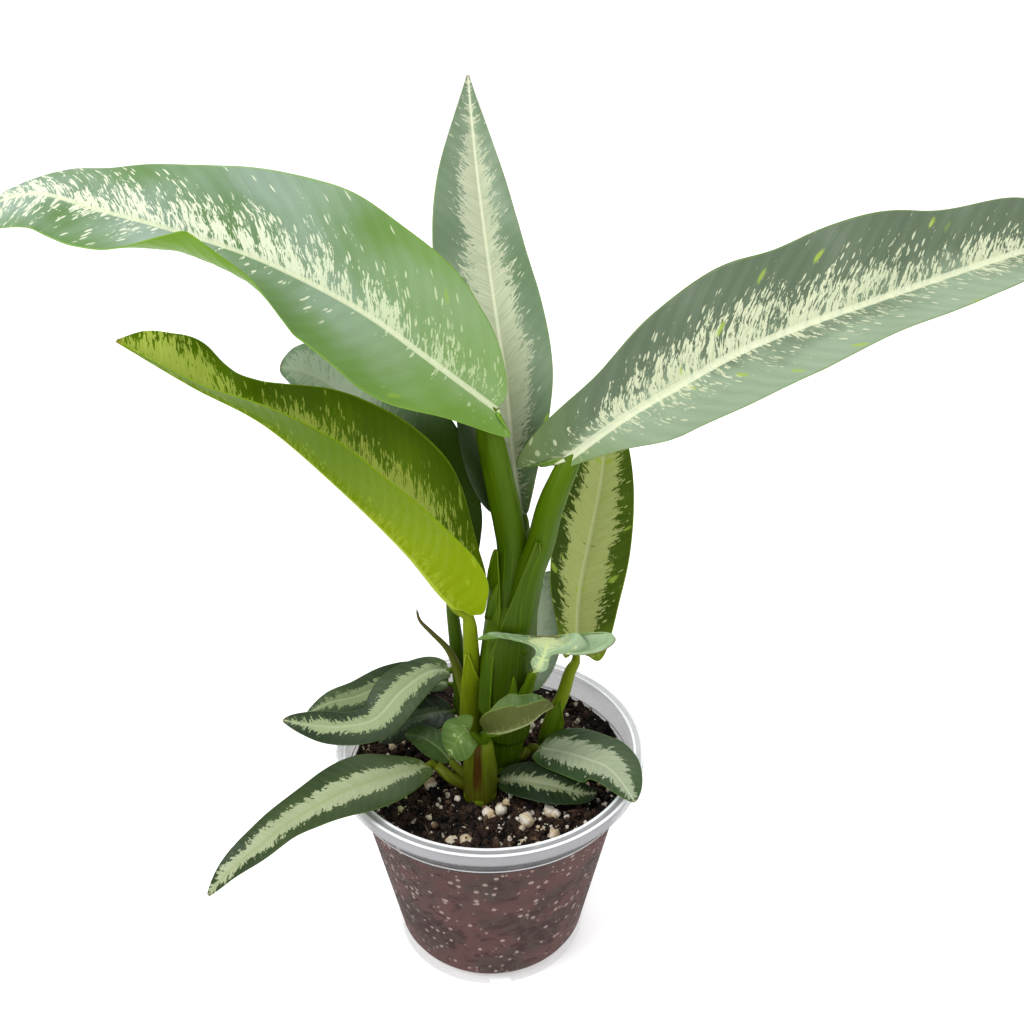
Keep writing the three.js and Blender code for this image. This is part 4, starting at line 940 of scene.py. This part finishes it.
def make_pot():
    """The pot: its outline from below the floor, over the rim and back down inside, then turned."""
    skirt = POT_HEIGHT - RIM_SKIRT
    floor_top = FLOOR_LIFT + FLOOR
    # Each corner's radius and height, and how far from it the outline's points lie
    corners = (
        (PAD_RADIUS, 0, (-0.5, 0), (0, 0.2)),
        (PAD_RADIUS, FLOOR_LIFT, (2.2, -0.2), (2.6, 0)),
        (BASE_RADIUS, FLOOR_LIFT, (-6.4, 0), (-6, -0.2)),
        (BASE_RADIUS, 0, (-4.2, 0.2), (-3.8, 0), (-0.8, 0), (-0.4, 0.3), (0.3, 4.2), (0.2, 4.7)),
        (BASE_RADIUS, WALL_FOOT, (-0.2, 0)),
        (WALL_TOP_RADIUS, LEDGE, (-0.5, -2.6), (-0.2, -2)),
        (COLLAR_RADIUS, LEDGE, (-0.8, -0.3), (-0.4, 0.3)),
        (COLLAR_RADIUS, skirt, (0.3, 0.4), (0.7, 1)),
        (RIM_RADIUS, skirt, (-1.5, 1), (-1.1, 0.7), (-1, 0), (-0.2, 0), (0, 0.4)),
        (RIM_RADIUS, POT_HEIGHT, (0, -1), (-0.3, -0.3), (-1, 0), (-1.6, -0.35)),
        (COLLAR_RADIUS, POT_HEIGHT, (0.9, -0.35), (0.4, 0), (-0.3, 0), (-0.7, -0.6)),
        (COLLAR_RADIUS, LEDGE, (-1.4, 1.2), (-1.8, 0.6)),
        (WALL_TOP_RADIUS, LEDGE, (-0.9, -1.2), (-1.1, -2.4)),
        (BASE_RADIUS, WALL_FOOT, (-0.8, 0.4)),
        (BASE_RADIUS, floor_top, (-1.2, 0.2), (-1.8, 0)),
        (PAD_RADIUS, floor_top, (1.8, 0), (1.2, -0.3)),
        (PAD_RADIUS, FLOOR, (-0.6, 0.3), (-1.2, 0)),
    )
    wall = [(radius + out, height + up) for radius, height, *bends in corners for out, up in bends]
    profile = [(1, 0), *wall, (1, FLOOR)]
    pot = turned(profile, POT_SIDES)
    cutters = []
    for k in range(DRAIN["count"]):
        angle = 2 * math.pi * (k + 0.5) / DRAIN["count"]
        bpy.ops.mesh.primitive_cylinder_add(vertices=24, radius=DRAIN["radius"] * MM,
            depth=DRAIN["depth"] * MM, location=on_ring(DRAIN["ring"], angle, DRAIN["depth"] / 2))
        cutters.append(bpy.context.object)
    for k in range(NOTCH["count"]):
        angle = math.radians(NOTCH["first_degrees"]) + 2 * math.pi * k / NOTCH["count"]
        bpy.ops.mesh.primitive_cube_add(size=1, rotation=(0, 0, angle),
            location=on_ring(BASE_RADIUS, angle, 0),
            scale=(NOTCH["depth"] * MM, NOTCH["width"] * MM, NOTCH["height"] * MM))
        cutters.append(bpy.context.object)
    for cutter in cutters:
        apply_modifier(pot, "BOOLEAN", operation="DIFFERENCE", solver="EXACT", object=cutter)
    for cutter in cutters:
        bpy.data.objects.remove(cutter)
    clear = Finish("milky_plastic", (0.5, 0.51, 0.53), 0.16, IOR=1.5, Specular_IOR_Level=0.45)
    place = clear.spot()
    x, y, z = clear.parts(place)
    fog = clear.grain(place, 30, 4, 0.6)
    round_out = clear.node("ShaderNodeVectorMath", {"operation": "LENGTH"},
        {0: clear.place(x, y)}, output="Value")
    upper = clear.step(z, (LEDGE - 3) * MM, (LEDGE + 1) * MM)
    brim = clear.step(z, skirt * MM, (skirt + 1) * MM)
    # Near-white, less clear rings along the rim's inner and outer top edges, and a line along the
    # ledge: painted highlights
    inner = abs(round_out - (COLLAR_RADIUS + 0.1) * MM)
    outer = abs(round_out - (RIM_RADIUS - 0.8) * MM)
    crest = clear.step(z, (POT_HEIGHT - 0.6) * MM, (POT_HEIGHT - 0.3) * MM)
    rim_highlight = (clear.step(inner, 0.8 * MM, 0.4 * MM) + clear.step(outer, 0.9 * MM, 0.4 * MM)) * crest
    line = clear.step(abs(z - (LEDGE + 0.4) * MM), 0.6 * MM, 0.3 * MM)
    tint = clear.mix(upper, (0.3, 0.22, 0.22), (0.08, 0.08, 0.085))
    clear.set("Base Color", clear.coats(tint, (brim, (0.45, 0.45, 0.475)),
        (rim_highlight + line * 0.5, (0.95, 0.97, 1))))
    clear.set("Roughness", 0.12 + fog * 0.14)
    clear.set("Alpha", 0.02 + fog * 0.03 + upper * 0.42 + brim * 0.1 + rim_highlight * 0.4 + line * 0.4)
    own(pot, "nursery_pot", [clear.material], "pot", "pot")
    smooth(pot)
    bpy.ops.object.shade_smooth_by_angle(angle=math.radians(35))


def soil_height(x, y):
    r = math.hypot(x, y)
    heap = 2.2 * math.exp(-((r / 34) ** 2)) + 3.4 * max(0, (r - 38) / 21) ** 1.5
    heap += 2.5 * math.exp(-((x - 34) ** 2 + (y - 28) ** 2) / 150)
    crumbs = 0.9 * math.sin(0.42 * x + 1.3) * math.cos(0.37 * y - 0.4)
    crumbs += 0.7 * math.sin(0.83 * x - 0.61 * y) + 0.5 * math.sin(1.31 * x + 0.97 * y + 2)
    return SOIL_TOP - 0.8 + heap + crumbs


def soil_radius(z):
    foot = WALL_FOOT + 0.4
    share = (z - foot) / (LEDGE - 1.2 - foot)
    low = BASE_RADIUS - 0.2
    return low + (WALL_TOP_RADIUS - 0.3 - low) * share - 0.75


def near_peg(x, y, room):
    return any(math.hypot(x - px, y - py) < radius + room for px, py, radius in PEGS.values())


def make_soil():
    """The mix: a side that follows the wall, and a crumbly top with hollows round the shoots."""
    floor = FLOOR_LIFT + FLOOR + GAP
    profile = [(1, floor), (soil_radius(floor) - 0.8, floor)]
    profile += [(soil_radius(z) - 0.15, z) for z in (floor + 2, 20, 34, 48, 62, 74, 78)]
    brink = COLLAR_RADIUS - 2.1
    profile += [(soil_radius(80.5), 80.5), (WALL_TOP_RADIUS - 1.2, LEDGE - 1.4),
        (brink - 0.1, LEDGE + 0.8)]
    profile += [(brink * (1 - k / SOIL_RINGS), LEDGE + 1) for k in range(SOIL_RINGS)]
    mix = turned(profile, SOIL_SIDES)
    for vertex in mix.data.vertices:
        x, y, z = (c / MM for c in vertex.co)
        if z > LEDGE + 0.9:
            rough = noise.fractal(Vector((x, y, 0)) * 0.3, 0.8, 2.1, 6) * 1.5
            height = soil_height(x, y) + rough
            if near_peg(x, y, 0.5):
                height = min(height, SOIL_TOP - 1.5)
            vertex.co.z = height * MM
    mould = Finish("bark_mix", (0.03, 0.018, 0.012), 0.92, Specular_IOR_Level=0.25)
    place = mould.spot()
    clump = mould.grain(place, 110, 4, 0.7)
    crumb = mould.grain(place, 480, 3, 0.65)
    speck, pick = mould.cells(place, 230)
    white = mould.step(speck, 0.34, 0.26) * mould.step(pick, 0.87, 0.88)
    top = mould.coats(
        mould.mix(mould.step(clump, 0.42, 0.6), (0.006, 0.004, 0.0035), (0.05, 0.027, 0.018)),
        (mould.step(crumb, 0.56, 0.7) * 0.55, (0.12, 0.065, 0.042)), (white, (0.6, 0.53, 0.44)))
    x, y, z = mould.parts(place)
    turn = mould.node("ShaderNodeMath", {"operation": "ARCTAN2"}, {0: y, 1: x})
    wall = mould.place(turn * 50, z * 1000)
    # Dark patches on the side, most at one height: painted shade in hollows of the mix against the wall
    hollow_shade = mould.grain(mould.place(turn * 9, z * 320), 1, 7, 0.62)
    wet = mould.grain(mould.place(turn * 2, z * 50, 4), 1, 2)
    hollow_shade = hollow_shade + wet * 0.3 - abs(z - PATCH_HEIGHT * MM) * 2
    side = mould.coats(
        mould.mix(mould.step(wet, 0.4, 0.6), (0.08, 0.029, 0.025), (0.042, 0.027, 0.02)),
        (mould.step(crumb, 0.4, 0.7) * 0.15, (0.13, 0.075, 0.065)),
        (mould.step(hollow_shade, 0.655, 0.668), (0.026, 0.004, 0.003)))
    cluster = mould.grain(mould.place(turn * 6, z * 110, 8), 1, 1)
    for scale, wide, share in ((0.3, 0.34, 0.74), (0.4, 0.22, 0.5)):
        speck, pick = mould.cells(wall, scale)
        grain = mould.step(speck + crumb * 0.12, wide + 0.06, wide - 0.02)
        grain = grain * mould.step(pick - cluster * share, 0.01, -0.01)
        side = mould.mix(grain * 0.8, side, (0.36, 0.28, 0.235))
    below = mould.step(z, (SIDE_TOP + 0.5) * MM, (SIDE_TOP - 0.5) * MM)
    mould.set("Base Color", mould.mix(below, top, side))
    mould.set("Roughness", 0.78 + crumb * 0.2)
    open_top = mould.step(z, (SIDE_TOP - 1) * MM, (SIDE_TOP + 1) * MM)
    mould.bump((crumb + clump * 2) * open_top, 1, 0.0016)
    own(mix, "potting_mix", [mould.material], "soil", "soil")
    smooth(mix)
    return mould.material


def lump(detail, squash, seed):
    """One irregular grain, as places and faces."""
    clear_choice()
    bpy.ops.mesh.primitive_ico_sphere_add(subdivisions=detail, radius=1)
    grain = bpy.context.object
    places = np.array([v.co for v in grain.data.vertices])
    faces = [tuple(p.vertices) for p in grain.data.polygons]
    bpy.data.objects.remove(grain)
    for k, place in enumerate(places):
        swell = 1 + 0.5 * noise.noise(Vector(place) * 1.6 + Vector((seed, 0, 0)))
        places[k] = place * swell
    return places * np.array([1, squash, squash]), faces


def scatter(name, count, sizes, kinds, material, seed, sink, reach=58):
    """Many small grains on the mix, in one mesh."""
    draw = random.Random(seed)
    shapes = [lump(*kind, k * 3.7) for k, kind in enumerate(kinds)]
    places, faces = [], []
    while len(places) < count:
        r = reach * math.sqrt(draw.random())
        turn = 2 * math.pi * draw.random()
        x, y = r * math.cos(turn), r * math.sin(turn)
        size = sizes[0] + (sizes[1] - sizes[0]) * draw.random() ** 2.5
        if near_peg(x, y, size + 0.6) or r + size > reach + 0.4:
            continue
        shape, shape_faces = draw.choice(shapes)
        a, b, c = (draw.uniform(0, 2 * math.pi) for _ in range(3))
        turned_round = np.array(Euler((a, c, b)).to_matrix())
        lift = soil_height(x, y) + size * sink
        start = sum(len(p) for p in places)
        places.append((shape * size) @ turned_round.T + np.array([x, y, lift]))
        faces += [tuple(start + k for k in face) for face in shape_faces]
    mesh = bpy.data.meshes.new(name)
    mesh.from_pydata((np.vstack(places) * MM).tolist(), [], faces)
    piece = bpy.data.objects.new(name, mesh)
    bpy.context.collection.objects.link(piece)
    own(piece, name, [material], "soil", "soil")
    smooth(piece)


def perlite_finish():
    white = Finish("perlite", (0.8, 0.74, 0.64), 0.85)
    place = white.spot()
    pores = white.grain(place, 1300, 3, 0.7)
    stain = white.grain(place, 160, 2)
    moss = white.grain(place, 45, 1)
    white.set("Base Color", white.coats(
        white.mix(white.step(stain, 0.46, 0.62) * 0.8, (0.8, 0.74, 0.62), (0.55, 0.4, 0.2)),
        (white.step(pores, 0.54, 0.66) * 0.7, (0.2, 0.13, 0.07)),
        (white.step(moss, 0.66, 0.7) * 0.7, (0.35, 0.42, 0.12))))
    white.bump(pores, 0.8, 0.0005)
    return white.material


def bark_finish():
    chip = Finish("bark", (0.09, 0.045, 0.025), 0.8)
    place = chip.spot()
    grain = chip.grain(place, 500, 4, 0.7)
    patch = chip.grain(place, 60, 1)
    chip.set("Base Color", chip.coats(
        chip.mix(chip.step(grain, 0.4, 0.65), (0.035, 0.018, 0.012), (0.16, 0.085, 0.045)),
        (chip.step(patch, 0.5, 0.7) * 0.5, (0.26, 0.17, 0.09))))
    chip.bump(grain, 0.8, 0.0006)
    return chip.material


# Camera, light and floor
EYE = (0.0093, -0.3683, 0.4061)
EYE_DOWN = 28.17
SENSOR = 36
FOCAL_PIXELS = 1109
PICTURE_PIXELS = 1024


def make_stage():
    clear_choice()
    bpy.ops.object.camera_add(location=EYE, rotation=(math.radians(90 - EYE_DOWN), 0, 0))
    camera = bpy.context.object
    camera.data.lens = SENSOR * FOCAL_PIXELS / PICTURE_PIXELS
    camera.data.sensor_width = SENSOR
    camera.data.clip_start = 0.01
    camera.data.clip_end = 100
    scene = bpy.context.scene
    scene.camera = camera
    scene.view_settings.view_transform = "Standard"
    clear_choice()
    bpy.ops.mesh.primitive_plane_add(size=40)
    floor = bpy.context.object
    floor.name = "floor"
    pale = Finish("pale_floor", (0.93, 0.93, 0.93), 0.9, Emission_Color=(1, 1, 1, 1),
        Emission_Strength=0.38)
    floor.data.materials.append(pale.material)
    world = bpy.data.worlds.new("studio")
    scene.world = world
    world.use_nodes = True
    world.node_tree.nodes["Background"].inputs["Color"].default_value = (1, 1, 1, 1)
    world.node_tree.nodes["Background"].inputs["Strength"].default_value = 0.7
    for place, aim, size, power in (((-0.8, -0.6, 1.5), (0, 0, 0.2), 0.7, 17),
            ((1.2, -0.9, 1.0), (0, 0, 0.2), 1.2, 4), ((0.2, 1.2, 1.4), (0, 0, 0.25), 1.0, 8)):
        bpy.ops.object.light_add(type="AREA", location=place)
        lamp = bpy.context.object
        lamp.rotation_euler = (Vector(aim) - Vector(place)).to_track_quat("-Z", "Y").to_euler()
        lamp.data.size = size
        lamp.data.energy = power


make_pot()
mould = make_soil()
# Grains on the mix: how many, the least and greatest size, the kinds by detail and flatness, the
# paint, the seed, how far each is raised as a share of its size, and how far out they lie
scatter("crumbs", 4800, (0.4, 1.7), [(1, 0.8), (1, 0.6), (1, 0.95)], mould, 3, 0.2)
scatter("clods", 260, (1.2, 2.6), [(2, 0.7), (2, 0.55), (2, 0.9)], mould, 4, 0.1, 56)
bark = bark_finish()
scatter("bark_chips", 150, (1.2, 4.6), [(2, 0.35), (2, 0.25)], bark, 11, 0.2, 53)
scatter("fibres", 170, (1.5, 4.5), [(1, 0.05), (1, 0.07)], bark, 13, 0.12, 51)
white = perlite_finish()
scatter("perlite_fine", 460, (0.35, 1.0), [(1, 0.9), (1, 1)], white, 5, 0.5)
scatter("perlite_coarse", 125, (1.0, 3.1), [(2, 0.85), (2, 1), (2, 0.75)], white, 7, 0.45, 53)

FRESH_STALK = stalk_finish("fresh_stalk", (0.04, 0.085, 0.001), (0.085, 0.16, 0.002),
    (0.12, 0.21, 0.006))
YOUNG_STALK = stalk_finish("young_stalk", (0.12, 0.17, 0.003), (0.19, 0.26, 0.005),
    (0.26, 0.34, 0.02))
# A darker copy of the fresh stalk: painted shade for the stalks that stand in the leaves' shadow
SHADED_STALK = stalk_finish("shaded_stalk", (0.03, 0.06, 0.001), (0.055, 0.11, 0.002),
    (0.1, 0.16, 0.008))
STUB = stalk_finish("scarred_stalk", (0.07, 0.075, 0.004), (0.12, 0.17, 0.006), (0.17, 0.23, 0.02))
DRY = stalk_finish("dried_tip", (0.13, 0.17, 0.01), (0.09, 0.07, 0.03), (0.17, 0.15, 0.05))


def stalk_material(name):
    """The first part that is found in a limb's name decides."""
    for part, material in (("young", YOUNG_STALK), ("stalk_right", YOUNG_STALK),
            ("spike", DRY), ("behind", SHADED_STALK), ("middle", SHADED_STALK), ("front", STUB),
            ("sheath_right", SHADED_STALK)):
        if part in name:
            return material
    return FRESH_STALK


for name, (shoot, path, sizes) in STALKS.items():
    make_stalk(name, shoot, path, sizes, stalk_material(name))
for name, (shoot, path, sizes, turns) in SHEATHS.items():
    make_sheath(name, shoot, path, sizes, turns, stalk_material(name))
for number, (name, leaf) in enumerate(LEAVES.items()):
    make_leaf(name, leaf, PAINTS[name], 2.3 * number)

make_stage()
